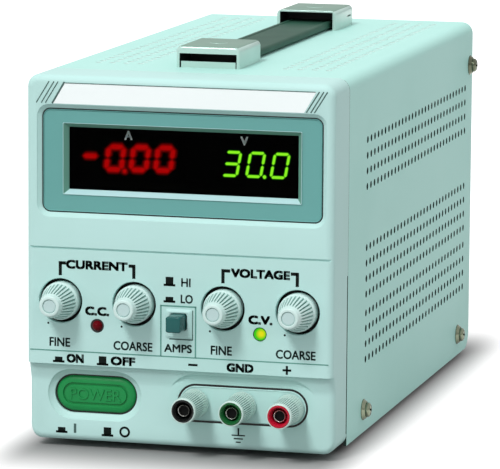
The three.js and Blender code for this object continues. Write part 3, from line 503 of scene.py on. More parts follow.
def lower_shell():
    bends = [case_half - corner_round + corner_round * math.sin(turn) for turn in quarter(10)]
    places = [-x for x in reversed(bends)] + bends
    shell = loft("lower_moulding", [lower_section(x) for x in places])
    inside = case_half - wall
    dish = [(dish_slope + dish_ease, -past)]
    dish += [(dish_slope + out, deep) for out, deep in easing(dish_ease)]
    dish += [(dish_slope - 0.8, 1.2), (0.7, 1.7), (button_gap, 2.0)]
    dish = shifted(dish, lower_face) + [(button_gap, tray_front)]
    seat = [(4.2, -past), (4.2, 0), (2.6, 0.12), (0.5, 0.5), (0.1, 0.6), (0, 0.8)]
    seat = shifted(seat, lower_face) + [(0, seat_depth)]
    cutters = [
        block("inside", -inside, inside, lower_face + wall, moulding_depth + past, wall, lip_height + past),
        loft("dish", outlines(button_outline, dish)),
        loft("platform_seat", outlines(seat_outline, seat)),
    ]
    cutters += post_holes(stud_hole_radius)
    return carve(shell, cutters + seam_cutters(seam_low, lip_height + past))


def platform():
    """The raised island under the binding posts, a little smaller than its seat."""
    rim = lower_face + platform_drop + platform_edge
    steps = [(-platform_gap, seat_depth), (-platform_gap, rim)]
    turns = easing(platform_edge)[1:]
    steps += [(out - platform_gap - platform_edge, rim - deep) for deep, out in turns]
    return carve(loft("platform", outlines(seat_outline, steps)), post_holes(sleeve_hole_radius))


def button_sleeve():
    """The collar behind the dish that guides the mains button."""
    front, back = lower_face + wall - 2 * hair, tray_front - hair
    return band("button_sleeve", button_outline, button_gap, button_gap + guide_wall, front, back)


grain_detail, cloud_scale, cloud_detail = 3, 22, 5
cloud_low, cloud_high = 0.45, 0.7


def surface_group():
    """Shader group for moulded and painted skins: fine grain, faint mottling and uneven gloss."""
    group = bpy.data.node_groups.new("fine_skin", "ShaderNodeTree")
    for name in ("Colour", "Dull Colour"):
        group.interface.new_socket(name, in_out="INPUT", socket_type="NodeSocketColor")
    for name in ("Dulling", "Grain Scale", "Grain Height", "Roughness", "Gloss Spread"):
        group.interface.new_socket(name, in_out="INPUT", socket_type="NodeSocketFloat")
    for name, kind in (("Colour", "Color"), ("Roughness", "Float"), ("Normal", "Vector")):
        group.interface.new_socket(name, in_out="OUTPUT", socket_type="NodeSocket" + kind)
    given = group.nodes.new("NodeGroupInput").outputs
    place = group.nodes.new("ShaderNodeTexCoord").outputs["Object"]
    feeds = (("Vector", place), ("Scale", given["Grain Scale"]))
    grain = add_node(group, "ShaderNodeTexNoise", (("Detail", grain_detail),), feeds)
    feeds = (("Height", grain.outputs["Fac"]), ("Distance", given["Grain Height"]))
    bump = add_node(group, "ShaderNodeBump", feeds=feeds)
    values = (("Scale", cloud_scale), ("Detail", cloud_detail))
    clouds = add_node(group, "ShaderNodeTexNoise", values, (("Vector", place),)).outputs["Fac"]
    feeds = (("Value", clouds), ("To Max", given["Dulling"]))
    ends = (("From Min", cloud_low), ("From Max", cloud_high))
    spread = add_node(group, "ShaderNodeMapRange", ends, feeds)
    feeds = ((0, spread.outputs["Result"]), (6, given["Colour"]), (7, given["Dull Colour"]))
    mix = add_node(group, "ShaderNodeMix", feeds=feeds, data_type="RGBA")
    centred = add_node(group, "ShaderNodeMath", ((1, 0.5),), ((0, clouds),), operation="SUBTRACT")
    feeds = ((0, centred.outputs[0]), (1, given["Gloss Spread"]), (2, given["Roughness"]))
    gloss = add_node(group, "ShaderNodeMath", feeds=feeds, operation="MULTIPLY_ADD")
    results = (("Colour", mix.outputs[2]), ("Roughness", gloss.outputs[0]))
    results += (("Normal", bump.outputs["Normal"]),)
    add_node(group, "NodeGroupOutput", feeds=results)
    return group


fine_skin = surface_group()
gloss_spread = 0.1


def srgb(red, green, blue):
    def linear(value):
        share = value / 255
        return share / 12.92 if share <= 0.04045 else ((share + 0.055) / 1.055) ** 2.4

    return (linear(red), linear(green), linear(blue), 1.0)


def skin(
    name, colour, dull, roughness, grain_scale=900, grain_height=0.002, metallic=0.0, dulling=0.3, shine=0.5
):
    """A material with the shared fine skin over a Principled shader; colours are sRGB triples."""
    material = bpy.data.materials.new(name)
    material.use_nodes = True
    tree = material.node_tree
    shader = tree.nodes["Principled BSDF"]
    shader.inputs["Metallic"].default_value = metallic
    shader.inputs["Specular IOR Level"].default_value = shine
    finish = tree.nodes.new("ShaderNodeGroup")
    finish.node_tree = fine_skin
    values = (("Colour", srgb(*colour)), ("Dull Colour", srgb(*dull)), ("Dulling", dulling))
    values += (("Grain Scale", grain_scale), ("Grain Height", grain_height * MM))
    values += (("Roughness", roughness), ("Gloss Spread", gloss_spread))
    for socket, value in values:
        finish.inputs[socket].default_value = value
    for result, socket in (("Colour", "Base Color"), ("Roughness", "Roughness"), ("Normal", "Normal")):
        tree.links.new(finish.outputs[result], shader.inputs[socket])
    return material


mint_moulding = skin("mint_moulding", (186, 223, 219), (174, 215, 207), 0.5, 1800, 0.006, shine=0.18)
# Black that stands in for shade: painted shade in the knob wells, the gaps round parts and the hollows of
# the handle caps.
painted_shade_black = skin("painted_shade_black", (12, 14, 13), (20, 22, 21), 0.6, 1500, 0.004)

front_moulding = joined(upper_shell(), [lower_shell(), platform(), button_sleeve(), range_collar()])
dress(front_moulding, "case", "mint_plastic", mint_moulding, "front_bezel")


shade_liner_radius, shaft_hole = 10.6, 6.4


def well_shade_liner():
    """A black wall round each knob's well, with a black floor round the shaft: painted shade that makes the
    well dark.
    """
    rings = []
    floor_front, floor_back = tray_front - 1.0, tray_front - hair
    for x in knob_places:
        profile = [(well_radius, wall - 0.5), (well_radius, tray_front)]
        profile += [(shade_liner_radius, tray_front), (shade_liner_radius, wall)]
        rings.append(turned("knob_well_shade_liners", profile, x, knob_z, closed=True))
        floor = [(shaft_hole, floor_front), (shaft_hole, floor_back)]
        floor += [(well_radius, floor_back), (well_radius, floor_front)]
        rings.append(turned("well_floor", floor, x, knob_z, closed=True))
    return joined(rings[0], rings[1:])


dress(well_shade_liner(), "case", "black_plastic", painted_shade_black)


# Each painted shadow ring has an inner and an outer offset, and a front and a back.
button_shadow_ring = (-0.3, 0.36, 7.0, 7.4)
seat_shadow_ring = (-0.8, 0.05, lower_face + 0.62, lower_face + 0.9)
frame_shadow_ring = (-0.05, 0.6, 2.0, 2.4)
lamp_shadow_front, lamp_shadow_back = 0.15, 1.0


def shadow_gap_rings():
    """Black rings that paint the shade in the gaps round the power button, the platform, the display frame
    and the lamps.
    """
    rings = [
        band("shadow_ring_band", button_outline, *button_shadow_ring),
        band("shadow_ring_band", seat_outline, *seat_shadow_ring),
        band("shadow_ring_band", frame_outline, *frame_shadow_ring),
    ]
    outer = lamp_radius + lamp_gap + hair
    for x, radius in ((-lamp_x, dark_lamp_radius), (lamp_x, lamp_radius)):
        inner = radius + 0.02
        profile = [(inner, lamp_shadow_front), (outer, lamp_shadow_front)]
        profile += [(outer, lamp_shadow_back), (inner, lamp_shadow_back)]
        rings.append(turned("lamp_shadow_ring", profile, x, lamp_z, closed=True))
    return joined(rings[0], rings[1:])


dress(shadow_gap_rings(), "case", "black_plastic", painted_shade_black)


# Display
# A teal moulded frame is held behind the opening. Its bevel leads to a smoked pane, and two
# seven-segment modules shine through it, red for current and green for voltage.
window_x, window_z = 0.7, 116.2
window_half_x, window_half_z = 47.9, 12.8
window_bevel, window_corner = 1.8, 0.4
frame_front, frame_back, frame_flange, frame_ease = 1.5, 4.5, 1.6, 0.4
trim_gap, trim_foot, trim_wall, trim_slope = 0.02, 0.6, 0.12, 0.3
segment_depth, layer_gap = 7.2, 0.05
pane_tint = 0.85
red_glow = (1.0, 0.002, 0.003, 1.0)
green_glow = (0.3, 1.0, 0.02, 1.0)
green_edge = (0.06, 1.0, 0.01, 1.0)


def window_outline(out):
    return rounded(window_half_x + out, window_half_z + out, window_corner, window_x, window_z)


def display_surround():
    """The teal frame, with a flange behind the panel and a bevelled opening."""
    seat = wall + trim_gap
    steps = [(frame_flange, frame_back), (frame_flange, seat), (0, seat), (0, frame_front + frame_ease)]
    edge = reversed(easing(frame_ease))
    steps += [(out - frame_ease, frame_front + deep) for deep, out in edge][1:]
    body = loft("display_surround", outlines(frame_outline, steps))
    opening = [(window_bevel, -past), (window_bevel, frame_front)]
    opening += [(0, frame_back - trim_foot), (0, frame_back + past)]
    return carve(body, [loft("window_opening", outlines(window_outline, opening))])


def window_trim():
    """The pale bevelled rim inside the frame."""
    front, back = frame_front + trim_gap, frame_back - trim_gap
    steps = [(window_bevel - trim_gap, front), (0, back - trim_foot), (0, back), (-trim_wall, back)]
    steps += [(-trim_wall, back - trim_foot - 0.04), (window_bevel - 0.2, front)]
    return loft("window_trim", outlines(window_outline, steps), closed=True)


def face_looks(piece, extra, pick):
    """Adds materials to a piece and picks one of them, by its number, for every face."""
    for material in extra:
        piece.data.materials.append(material)
    for face in piece.data.polygons:
        face.material_index = pick(face)


def trim_side(face):
    """The rim's upper and end flanks take a darker copy of its colour: painted shade."""
    return 1 if face.normal.z < -trim_slope or abs(face.normal.x) > trim_slope else 0


teal_frame = skin("teal_frame", (102, 163, 159), (94, 154, 149), 0.5, 1600, 0.006, shine=0.3)
pale_rim = skin("pale_rim", (180, 218, 220), (168, 208, 210), 0.25, 1200, 0.002)
# A darker copy of the rim colour: painted shade for the flanks that face down or sideways.
rim_painted_shade = skin("rim_painted_shade", (102, 154, 138), (90, 142, 126), 0.4, 1200, 0.002, shine=0.2)
dress(display_surround(), "case", "teal_plastic", teal_frame, "display_frame")
rim = dress(window_trim(), "case", "mint_plastic", pale_rim)
face_looks(rim, [rim_painted_shade], trim_side)


def smoked_pane():
    material = skin("smoked_pane", (0, 0, 0), (3, 3, 4), 0.2, 700, 0.001, shine=0.01)
    shader = material.node_tree.nodes["Principled BSDF"]
    shader.inputs["Alpha"].default_value = pane_tint
    return material


def glow(name, colour, strength):
    material = skin(name, (0, 0, 0), (4, 4, 4), 0.6, 900, 0.001, shine=0.1)
    shader = material.node_tree.nodes["Principled BSDF"]
    shader.inputs["Emission Color"].default_value = colour
    shader.inputs["Emission Strength"].default_value = strength
    return material


def flat_piece(name, polygons, y):
    """Thin flat shapes in one piece, drawn facing the front."""
    points, faces = [], []
    for polygon in polygons:
        faces.append(tuple(range(len(points), len(points) + len(polygon))))
        points += [(x, y, z) for x, z in polygon]
    mesh = drawn_mesh(name, points, faces)
    for polygon in mesh.polygons:
        if polygon.normal.y > 0:
            polygon.flip()
    return placed(name, mesh)


LIT = {"0": "abcdef", "3": "abcdg", "-": "g"}
stroke_gap, stroke_taper = 0.25, 0.9


def segments(digit, x, z, wide, tall, lean, stroke, swell):
    """Seven-segment strokes as six-sided bars; the digit leans to the right."""
    half = stroke / 2
    left, right, foot, middle, head = half, wide - half, half, tall / 2, tall - half
    ends = {
        "a": (left, head, right, head),
        "b": (right, head, right, middle),
        "c": (right, middle, right, foot),
        "d": (left, foot, right, foot),
        "e": (left, middle, left, foot),
        "f": (left, head, left, middle),
        "g": (left, middle, right, middle),
    }
    bars = []
    for bar in LIT[digit]:
        start, end = Vector(ends[bar][:2]), Vector(ends[bar][2:])
        along = (end - start).normalized()
        side = Vector((-along.y, along.x)) * (half + swell)
        start, end = start + along * (stroke_gap - swell), end - along * (stroke_gap - swell)
        tip = along * (half + swell) * stroke_taper
        upper = [start, start + tip + side, end - tip + side]
        lower = [end, end - tip - side, start + tip - side]
        bars.append([(x + p.x + lean * p.y / tall, z + p.y) for p in upper + lower])
    return bars


# Sizes are the width, height, lean and stroke of a digit.
red_sizes = (8.1, 11.0, 1.5, 1.8)
red_bars = (("-", -43.9, 111.4), ("0", -33.5, 110.9), ("0", -23.1, 111.1), ("0", -12.8, 111.3))
red_dot, red_dot_radius = (-24.7, 111.3), 0.8
green_sizes = (6.9, 10.5, 1.9, 1.05)
green_bars = (("3", 15.6, 110.8), ("0", 25.5, 110.8), ("0", 35.6, 110.8))
green_dot, green_dot_radius = (33.6, 111.3), 0.7


def disc(x, z, radius):
    return [(x + radius * math.cos(turn), z + radius * math.sin(turn)) for turn in circle(16)]


def reading(name, colour, slot, swell, layer, strength):
    """One layer of a lit number: the strokes themselves, or a wider and fainter haze."""
    if slot == "red_plastic":
        digits, sizes, dot, dot_radius = red_bars, red_sizes, red_dot, red_dot_radius
    else:
        digits, sizes, dot, dot_radius = green_bars, green_sizes, green_dot, green_dot_radius
    strokes = []
    for digit, x, z in digits:
        strokes += segments(digit, x, z, *sizes, swell)
    strokes.append(disc(*dot, dot_radius + swell))
    piece = flat_piece(name, strokes, segment_depth - layer * layer_gap)
    dress(piece, "case", slot, glow(name, colour, strength))


red_layers = (("reading", 0.0, 16.0), ("haze", 0.35, 7.0))
red_layers += (("outer_haze", 0.75, 4.0), ("faint_haze", 1.2, 1.3))
for depth, (layer, swell, strength) in enumerate(red_layers):
    reading("red_" + layer, red_glow, "red_plastic", swell, 3 - depth, strength)
reading("green_reading", green_glow, "green_plastic", 0.0, 1, 38.0)
reading("green_haze", green_edge, "green_plastic", 0.25, 0, 9.0)


def clad(material, *nodes):
    """CAD nodes that keep their own shape take this material."""
    for node in nodes:
        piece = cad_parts[node]
        piece.data.materials.clear()
        piece.data.materials.append(material)


module_black = skin("module_black", (4, 4, 5), (8, 8, 9), 0.8, 900, 0.004, shine=0.1)
clad(smoked_pane(), "display_window")
clad(module_black, "current_display", "voltage_display")


# Printed marks
# Thin silk-screened lines, symbols and plain function words on the face, and a pale slanted
# field with stripes at both ends on the band above the display.
ink_black = skin("ink_black", (8, 16, 14), (16, 26, 23), 0.6, shine=0.1)
# Grey ink, and also the painted shadow of the range collar.
grey_ink_and_shadow = skin("grey_ink_and_shadow", (74, 100, 96), (88, 116, 111), 0.6, shine=0.1)
ink_line = skin("ink_line", (98, 152, 142), (110, 164, 154), 0.6, shine=0.1)
ink_white = skin("ink_white", (246, 254, 254), (240, 251, 250), 0.5, shine=0.1)
ink_pale = skin("ink_pale", (226, 238, 236), (214, 228, 226), 0.5)
print_lift = 0.05
bold, thin, unit_weight = 0.5, 0.22, 0.22
sign_width, box_line = 0.9, 0.6
base_half, base_line, key_half = 2.45, 0.9, 1.6
raised_tall, sunk_tall = 3.3, 1.9


def bar(x0, z0, x1, z1, width):
    start, end = Vector((x0, z0)), Vector((x1, z1))
    along = (end - start).normalized()
    side = Vector((-along.y, along.x)) * width / 2
    return [tuple(start + side), tuple(end + side), tuple(end - side), tuple(start - side)]


def middle_and_span(values):
    return (max(values) + min(values)) / 2, max(values) - min(values)


def word(text, x, z, wide, tall, y, weight):
    """Plain lettering as a flat mesh, fitted to a width and a height and thickened by its weight."""
    curve = bpy.data.curves.new(text, "FONT")
    curve.body = text
    curve.resolution_u = 3
    holder = placed(text, curve)
    bpy.context.view_layer.update()
    drawn = holder.evaluated_get(bpy.context.evaluated_depsgraph_get())
    mesh = bpy.data.meshes.new_from_object(drawn)
    bpy.data.objects.remove(holder)
    middle_x, span_x = middle_and_span([v.co.x for v in mesh.vertices])
    middle_z, span_z = middle_and_span([v.co.y for v in mesh.vertices])
    for v in mesh.vertices:
        across = x + (v.co.x - middle_x) * (wide - weight) / span_x
        v.co = at(across, y, z + (v.co.y - middle_z) * (tall - weight) / span_z)
    layers = []
    shifts = ((-1, -1), (1, -1), (-1, 1), (1, 1)) if weight else ((0, 0),)
    for side_x, side_z in shifts:
        layer = placed(text, mesh.copy())
        layer.data.transform(Matrix.Translation((side_x * weight / 2 * MM, 0, side_z * weight / 2 * MM)))
        layers.append(layer)
    return joined(layers[0], layers[1:])


def pushed_symbol(x, z, raised):
    """The usual sign of a push button, in or out."""
    base = bar(x - base_half, z, x + base_half, z, base_line)
    tall = raised_tall if raised else sunk_tall
    return [base, bar(x - key_half, z + tall / 2, x + key_half, z + tall / 2, tall)]


def print_on(name, polygons, words, y, material):
    sheet = flat_piece(name, polygons, y)
    dress(joined(sheet, words), "case", "black_plastic", material)


def print_face():
    y = -print_lift
    symbols = []
    for x, inner in ((-49.6, -47.2), (-18.6, -20.8), (18.6, 21.6), (49.3, 46.6)):
        symbols += [bar(x, 68.7, x, 74.45, 1.35), bar(x, 73.8, inner, 73.8, 1.3)]
    for x, z in ((-3.65, 66.9), (-31.7, 33.0)):
        symbols += pushed_symbol(x, z, True)
    for x, z in ((-3.65, 60.2), (-50.3, 33.3)):
        symbols += pushed_symbol(x, z, False)
    for sign in ((4.3, 34.8, 8.2, 34.8), (43.5, 34.7, 47.1, 34.7), (45.3, 32.9, 45.3, 36.5)):
        symbols.append(bar(*sign, sign_width))
    symbols += [disc(x - 5.2, knob_z - 9.4, 0.45) for x in knob_places]
    texts = (
        ("CURRENT", -34.2, 73.4, 26.0, 3.7),
        ("VOLTAGE", 34.1, 73.1, 24.4, 3.7),
        ("C.C.", -34.0, 54.7, 10.2, 3.7),
        ("C.V.", 34.2, 54.5, 10.0, 3.7),
        ("ON", -43.3, 34.8, 7.3, 3.7),
        ("OFF", -23.1, 34.7, 10.4, 3.7),
        ("GND", 25.9, 34.6, 11.2, 3.6),
    )
    print_on("dark_marks", symbols, [word(*text, y, bold) for text in texts], y, ink_black)
    lines = [bar(-62.4, 37.7, 62.4, 37.7, 0.5), bar(-7.5, 58.4, 7.6, 58.4, box_line)]
    lines += [bar(x, 37.7, x, 58.4, box_line) for x in (-7.2, 7.3)]
    print_on("panel_lines", lines, [], y, ink_line)
    # Two grey bars below and to the right of the range collar: a painted shadow, not print.
    collar_shadows = [bar(-3.6, 44.95, 6.2, 44.95, 0.55), bar(6.1, 45.0, 6.1, 57.0, 0.4)]
    texts = [("HI", 3.2, 68.2, 3.9, 3.5), ("LO", 3.6, 61.5, 5.1, 3.6), ("AMPS", 0.0, 41.2, 11.6, 3.4)]
    texts += [("FINE", x, 41.3, 8.8, 3.7) for x in (-49.8, 18.1)]
    texts += [("COARSE", x, 41.1, 16.4, 3.7) for x in (-18.9, 48.9)]
    print_on("grey_print_and_shadow", collar_shadows, [word(*text, y, thin) for text in texts], y, grey_ink_and_shadow)


def print_lower_face():
    y = lower_face - print_lift
    symbols = pushed_symbol(-50.3, 3.4, False) + pushed_symbol(-30.8, 3.0, True)
    outer, inner = disc(-23.5, 4.8, 2.3), disc(-23.5, 4.8, 1.4)
    for i in range(len(outer)):
        j = (i + 1) % len(outer)
        symbols.append([outer[i], outer[j], inner[j], inner[i]])
    symbols += [bar(24.3, 6.2, 24.3, 9.2, 0.6), bar(21.5, 6.2, 27.1, 6.2, 0.5)]
    symbols += [bar(22.4, 4.8, 26.2, 4.8, 0.5), bar(23.3, 3.4, 25.3, 3.4, 0.5)]
    print_on("lower_marks", symbols, [], y, ink_black)
    print_on("lower_bar", [bar(-44.6, 3.2, -44.6, 7.1, 1.05)], [], y, grey_ink_and_shadow)


def print_band():
    y = -print_lift
    field = [(-47.9, 146.9), (56.4, 146.9), (51.5, 138.6), (-52.8, 138.6)]
    print_on("band_field", [field], [], y, ink_white)
    stripes = [bar(-47.5, 147.0, 56.1, 147.0, 0.35), bar(-47.8, 147.4, -53.0, 138.6, 0.75)]
    for x in (-54.3, -52.2, -50.5):
        stripes.append(bar(x, 147.5, x - 5.4, 138.7, 0.4))
    for x in (57.7, 59.5, 61.0):
        stripes.append(bar(x, 147.2, x - 5.3, 138.7, 0.45))
    print_on("band_stripes", stripes, [], y - print_lift, grey_ink_and_shadow)


print_face()
print_lower_face()
print_band()
units = (("A", -22.3, 126.2, 3.3, 3.6), ("V", 25.9, 125.8, 3.1, 3.5))
unit_marks = [word(*unit, frame_back - print_lift, unit_weight) for unit in units]
pane_marks = joined(unit_marks[0], unit_marks[1:])
pane_marks.name = "pane_marks"
dress(pane_marks, "case", "mint_plastic", ink_pale)


# Knobs
# Four moulded knobs of pale plastic, ribbed cones with a plain skirt and a round cap with a
# sunk disc. Each is pressed on the steel shaft of a control behind the front.
knob_reach = 15.5
knob_sunk = 3.0
knob_base, knob_tip = 7.75, 4.25
knob_ribs, knob_facets, rib_sharpness = 27, 8, 3
rib_depth = 0.95
disc_radius = 2.75
# A lathed shape closes this far from its axis.
axis_gap = 0.05
cone_radius, cone_flare, cone_curve = 4.9, 2.3, 0.9
cone_start, cone_long = -12.7, 10.3
rib_start, rib_end, rib_rise, rib_fall = -13.0, -2.2, 1.2, 0.8


def knob_profile():
    tip = [(axis_gap, 0.9), (disc_radius, 0.9), (2.85, 0.12), (3.0, 0), (3.7, 0), (3.95, 0.08)]
    tip += [(4.15, 0.28), (knob_tip, 0.6), (4.45, 1.6), (4.75, 2.4)]
    profile = shifted(tip, -knob_reach)
    for i in range(13):
        share = i / 12
        profile.append((cone_radius + cone_flare * share ** cone_curve, cone_start + cone_long * share))
    profile += [(7.3, -2.1), (7.55, -1.8), (7.7, -1.4), (knob_base, -0.9), (knob_base, knob_sunk)]
    profile += [(3.25, knob_sunk), (3.25, -8.3), (axis_gap, -8.3)]
    return profile


def rib_share(y):
    """How deep the ribs are at a place along the knob: none at the cap and at the skirt."""
    return max(min((y - rib_start) / rib_rise, (rib_end - y) / rib_fall, 1.0), 0.0)


def ribbed_loop(x, z, radius, y, ribs, facets, depth, sharpness):
    """One outline of a ribbed cap, with its grooves cut in by the given depth."""
    loop = []
    for turn in circle(ribs * facets):
        reach = radius - depth * max(math.cos(turn * ribs), 0.0) ** sharpness
        loop.append((x + reach * math.sin(turn), y, z + reach * math.cos(turn)))
    return loop


def knob(name, place_x):
    loops = []
    for radius, y in knob_profile():
        depth = rib_depth * rib_share(y) if radius > knob_tip else 0.0
        ribs = (knob_ribs, knob_facets, depth, rib_sharpness)
        loops.append(ribbed_loop(place_x, knob_z, radius, y, *ribs))
    return loft(name, loops)


def knob_disc(place_x):
    profile = [(axis_gap, 0.45), (2.4, 0.45), (2.62, 0.62), (2.66, 0.9), (axis_gap, 0.9)]
    return turned("knob_disc", shifted(profile, -knob_reach), place_x, knob_z, 48)


def shade_grooves(piece, place_x, place_z, ribs):
    """Paints shade into the bottom of the grooves with a darker copy of the plastic."""
    axis = at(place_x, 0, place_z)

    def groove(face):
        out = Vector((face.center.x - axis.x, face.center.z - axis.z))
        turn = math.atan2(out.x, out.y)
        radial = (face.normal.x * out.x + face.normal.z * out.y) / max(out.length, MM)
        ribbed = groove_start < (face.center.y - axis.y) / MM < groove_end
        return 1 if ribbed and radial > groove_facing and math.cos(turn * ribs) > groove_share else 0

    face_looks(piece, [groove_painted_shade], groove)


groove_start, groove_end = -12.2, -2.4
groove_facing, groove_share = 0.2, 0.35
knob_plastic = skin("knob_plastic", (204, 229, 225), (192, 218, 212), 0.33, 1500, 0.003, shine=0.35)
# A darker copy of the plastic: painted shade for the bottom of the grooves.
groove_painted_shade = skin("groove_painted_shade", (156, 190, 184), (138, 174, 167), 0.5, 1500, 0.003, shine=0.2)
disc_grey = skin("disc_grey", (188, 213, 212), (178, 204, 203), 0.4, 1500, 0.003, shine=0.3)
plated_steel = skin("plated_steel", (170, 172, 168), (150, 152, 148), 0.35, 700, 0.002, metallic=1.0)
controls = ("current_fine", "current_coarse", "voltage_fine", "voltage_coarse")
for control, place_x in zip(controls, knob_places):
    node = "knob_" + control
    cap = dress(knob("ribbed_knob_" + control, place_x), node, "knob_plastic", knob_plastic, node)
    shade_grooves(cap, place_x, knob_z, knob_ribs)
    dress(knob_disc(place_x), node, "knob_plastic", disc_grey)
    clad(plated_steel, "shaft_" + control, "control_" + control)


# Indicator lamps
# Two domed lenses of clear tinted plastic: a dark red one, and a green one that is lit.
# Each is pushed into its hole from behind and stands a little proud of the face.
dome_start, dome_height = 0.7, 2.5
lens_collar, lens_back = 3.4, 6.0


def lens(name, x, radius):
    """A dome that starts behind the face, with a collar behind the panel."""
    profile = []
    for turn in quarter(9)[1:]:
        profile.append((radius * math.sin(turn), dome_start - dome_height * math.cos(turn)))
    collar_front, collar_back = wall + 0.02, wall + 1
    profile += [(radius, wall), (lens_collar, collar_front), (lens_collar, collar_back)]
    profile += [(radius, collar_back), (radius, lens_back)]
    return turned(name, profile, x, lamp_z, 48)


def lit_lens():
    """A bright spot behind the lens fades to green towards its rim."""
    material = glow("lit_lens", lens_green, lens_glow)
    tree = material.node_tree
    shader = tree.nodes["Principled BSDF"]
    shader.inputs["Base Color"].default_value = lens_tint
    shader.inputs["Roughness"].default_value = lens_dullness
    place = tree.nodes.new("ShaderNodeTexCoord")
    spot = ((1, at(*bright_spot)),)
    feeds = ((0, place.outputs["Object"]),)
    away = add_node(tree, "ShaderNodeVectorMath", spot, feeds, operation="DISTANCE")
    ends = (("From Min", spot_radius * MM), ("From Max", fade_radius * MM))
    ramp = add_node(tree, "ShaderNodeMapRange", ends, (("Value", away.outputs["Value"]),))
    colours = ((6, spot_yellow), (7, rim_green))
    mix = add_node(tree, "ShaderNodeMix", colours, ((0, ramp.outputs["Result"]),), data_type="RGBA")
    tree.links.new(mix.outputs[2], shader.inputs["Emission Color"])
    return material


lens_green, lens_glow = srgb(178, 255, 20), 0.75
lens_tint, lens_dullness = srgb(120, 210, 30), 0.15
spot_yellow, rim_green = srgb(255, 250, 20), srgb(64, 225, 20)
bright_spot, spot_radius, fade_radius = (lamp_x + 1.0, -1.3, lamp_z + 0.5), 0.7, 2.4
dark_lens = skin("dark_lens", (98, 0, 12), (56, 0, 6), 0.2, 900, 0.001, shine=0.08)
dress(lens("red_lens", -lamp_x, dark_lamp_radius), "case", "lamp_red", dark_lens, "lamp_constant_current")
dress(lens("green_lens", lamp_x, lamp_radius), "case", "lamp_green", lit_lens(), "lamp_constant_voltage")


# Push buttons
# A small square teal cap for the current range, and a broad green cap in the sloped dish
# for the mains. Both are moulded and sit on the square stems of their switches.
stem_half, stem_start, stem_end = 2.0, 9.0, 16.7
range_cap_half_x, range_cap_half_z = 3.05, 3.2
range_reach, range_edge, range_back = 9.0, 0.55, 6.2
range_corner, corner_shrink, stem_corner = 0.85, 0.6, 0.2
legend_wide, legend_tall, legend_face, letter_relief = 21.5, 4.6, 5.64, 0.5


def range_cap_outline(inset):
    half_x, half_z = range_cap_half_x - inset, range_cap_half_z - inset
    return rounded(half_x, half_z, range_corner - inset * corner_shrink, range_x, range_z)


def range_cap():
    steps = shifted(easing(range_edge), -range_reach) + [(0, range_back)]
    stem = rounded(stem_half, stem_half, stem_corner, range_x, range_z)
    ends = [level(stem, range_back), level(stem, stem_end)]
    return loft("range_cap", outlines(range_cap_outline, steps) + ends)


def raised_word():
    """The word POWER stands in low relief on the cap."""
    letters = word("POWER", power_x, power_z, legend_wide, legend_tall, legend_face, 0)
    shape = bmesh.new()
    shape.from_mesh(letters.data)
    raised = bmesh.ops.extrude_face_region(shape, geom=shape.faces[:])["geom"]
    for part in raised:
        if isinstance(part, bmesh.types.BMVert):
            part.co.y -= letter_relief * MM
    bmesh.ops.recalc_face_normals(shape, faces=shape.faces[:])
    shape.to_mesh(letters.data)
    shape.free()
    return letters


def power_cap():
    """A broad cap with a groove round its raised field, on a square stem."""
    steps = [(4.4, 5.62), (4.15, 5.66), (4.0, 6.3), (3.3, 6.3), (3.15, 5.62), (2.9, 5.6), (2.3, 5.68)]
    steps += [(1.4, 5.95), (0.8, 6.3), (0.45, 6.7), (0.3, 7.2), (0.3, 9.2)]
    cap = loft("power_cap", outlines(button_outline, [(-inset, y) for inset, y in steps]))
    sides_x, sides_z = [(middle - stem_half, middle + stem_half) for middle in (power_x, power_z)]
    return joined(cap, [block("stem", *sides_x, stem_start, stem_end, *sides_z)])


range_teal = skin("range_teal", (22, 88, 86), (12, 66, 66), 0.2, dulling=0.8, shine=0.25)
power_green = skin("power_green", (30, 140, 74), (18, 114, 58), 0.35, 900, 0.004, dulling=0.7, shine=0.2)
dress(range_cap(), "range_button", "teal_plastic", range_teal, "range_button")
dress(power_cap(), "power_button", "green_plastic", power_green, "power_button")
dress(raised_word(), "power_button", "green_plastic", power_green)
clad(module_black, "range_switch", "power_switch")


# Binding posts
# Each post is a plated stud with a 4 mm socket, a finely ribbed sleeve of pale plastic that
# screws along it, and a coloured ring in the sleeve's mouth.
sleeve_reach = 14.0
sleeve_radius, sleeve_flare = 5.2, 0.65
flare_start, flare_long = -12.2, 14.4
sleeve_ribs, sleeve_facets, sleeve_rib_depth, sleeve_sharpness = 40, 4, 0.42, 1
ring_radius, ring_back, ring_lead, ring_dulling = 4.58, -8.7, 0.3, 0.8


def sleeve(name, place_x):
    mouth = ((4.62, 0.05), (4.85, 0), (5.05, 0.12), (5.12, 0.4), (5.12, 1.1), (5.2, 1.5))
    profile = shifted(mouth, -sleeve_reach)
    profile += [(sleeve_radius + sleeve_flare * i / 6, flare_start + flare_long * i / 6) for i in range(7)]
    profile += [(5.9, 2.6), (5.9, 3.7), (5.7, 3.9), (3.2, 3.9), (3.2, -8.4), (4.62, -8.4)]
    loops = []
    for radius, y in profile:
        ribbed = flare_start - 0.2 < y < flare_start + flare_long + 0.2 and radius > 5
        depth = sleeve_rib_depth if ribbed else 0.0
        ribs = (sleeve_ribs, sleeve_facets, depth, sleeve_sharpness)
        loops.append(ribbed_loop(place_x, posts_z, radius, y, *ribs))
    return loft(name, loops, closed=True)


def coloured_ring(name, place_x):
    mouth = [(3.2, 1.7), (3.35, 1.2), (3.75, 0.25), (3.95, 0), (4.25, 0), (4.48, 0.1), (ring_radius, 0.35)]
    profile = [(3.2, ring_back)] + shifted(mouth, -sleeve_reach - ring_lead) + [(ring_radius, ring_back)]
    return turned(name, profile, place_x, posts_z, closed=True)


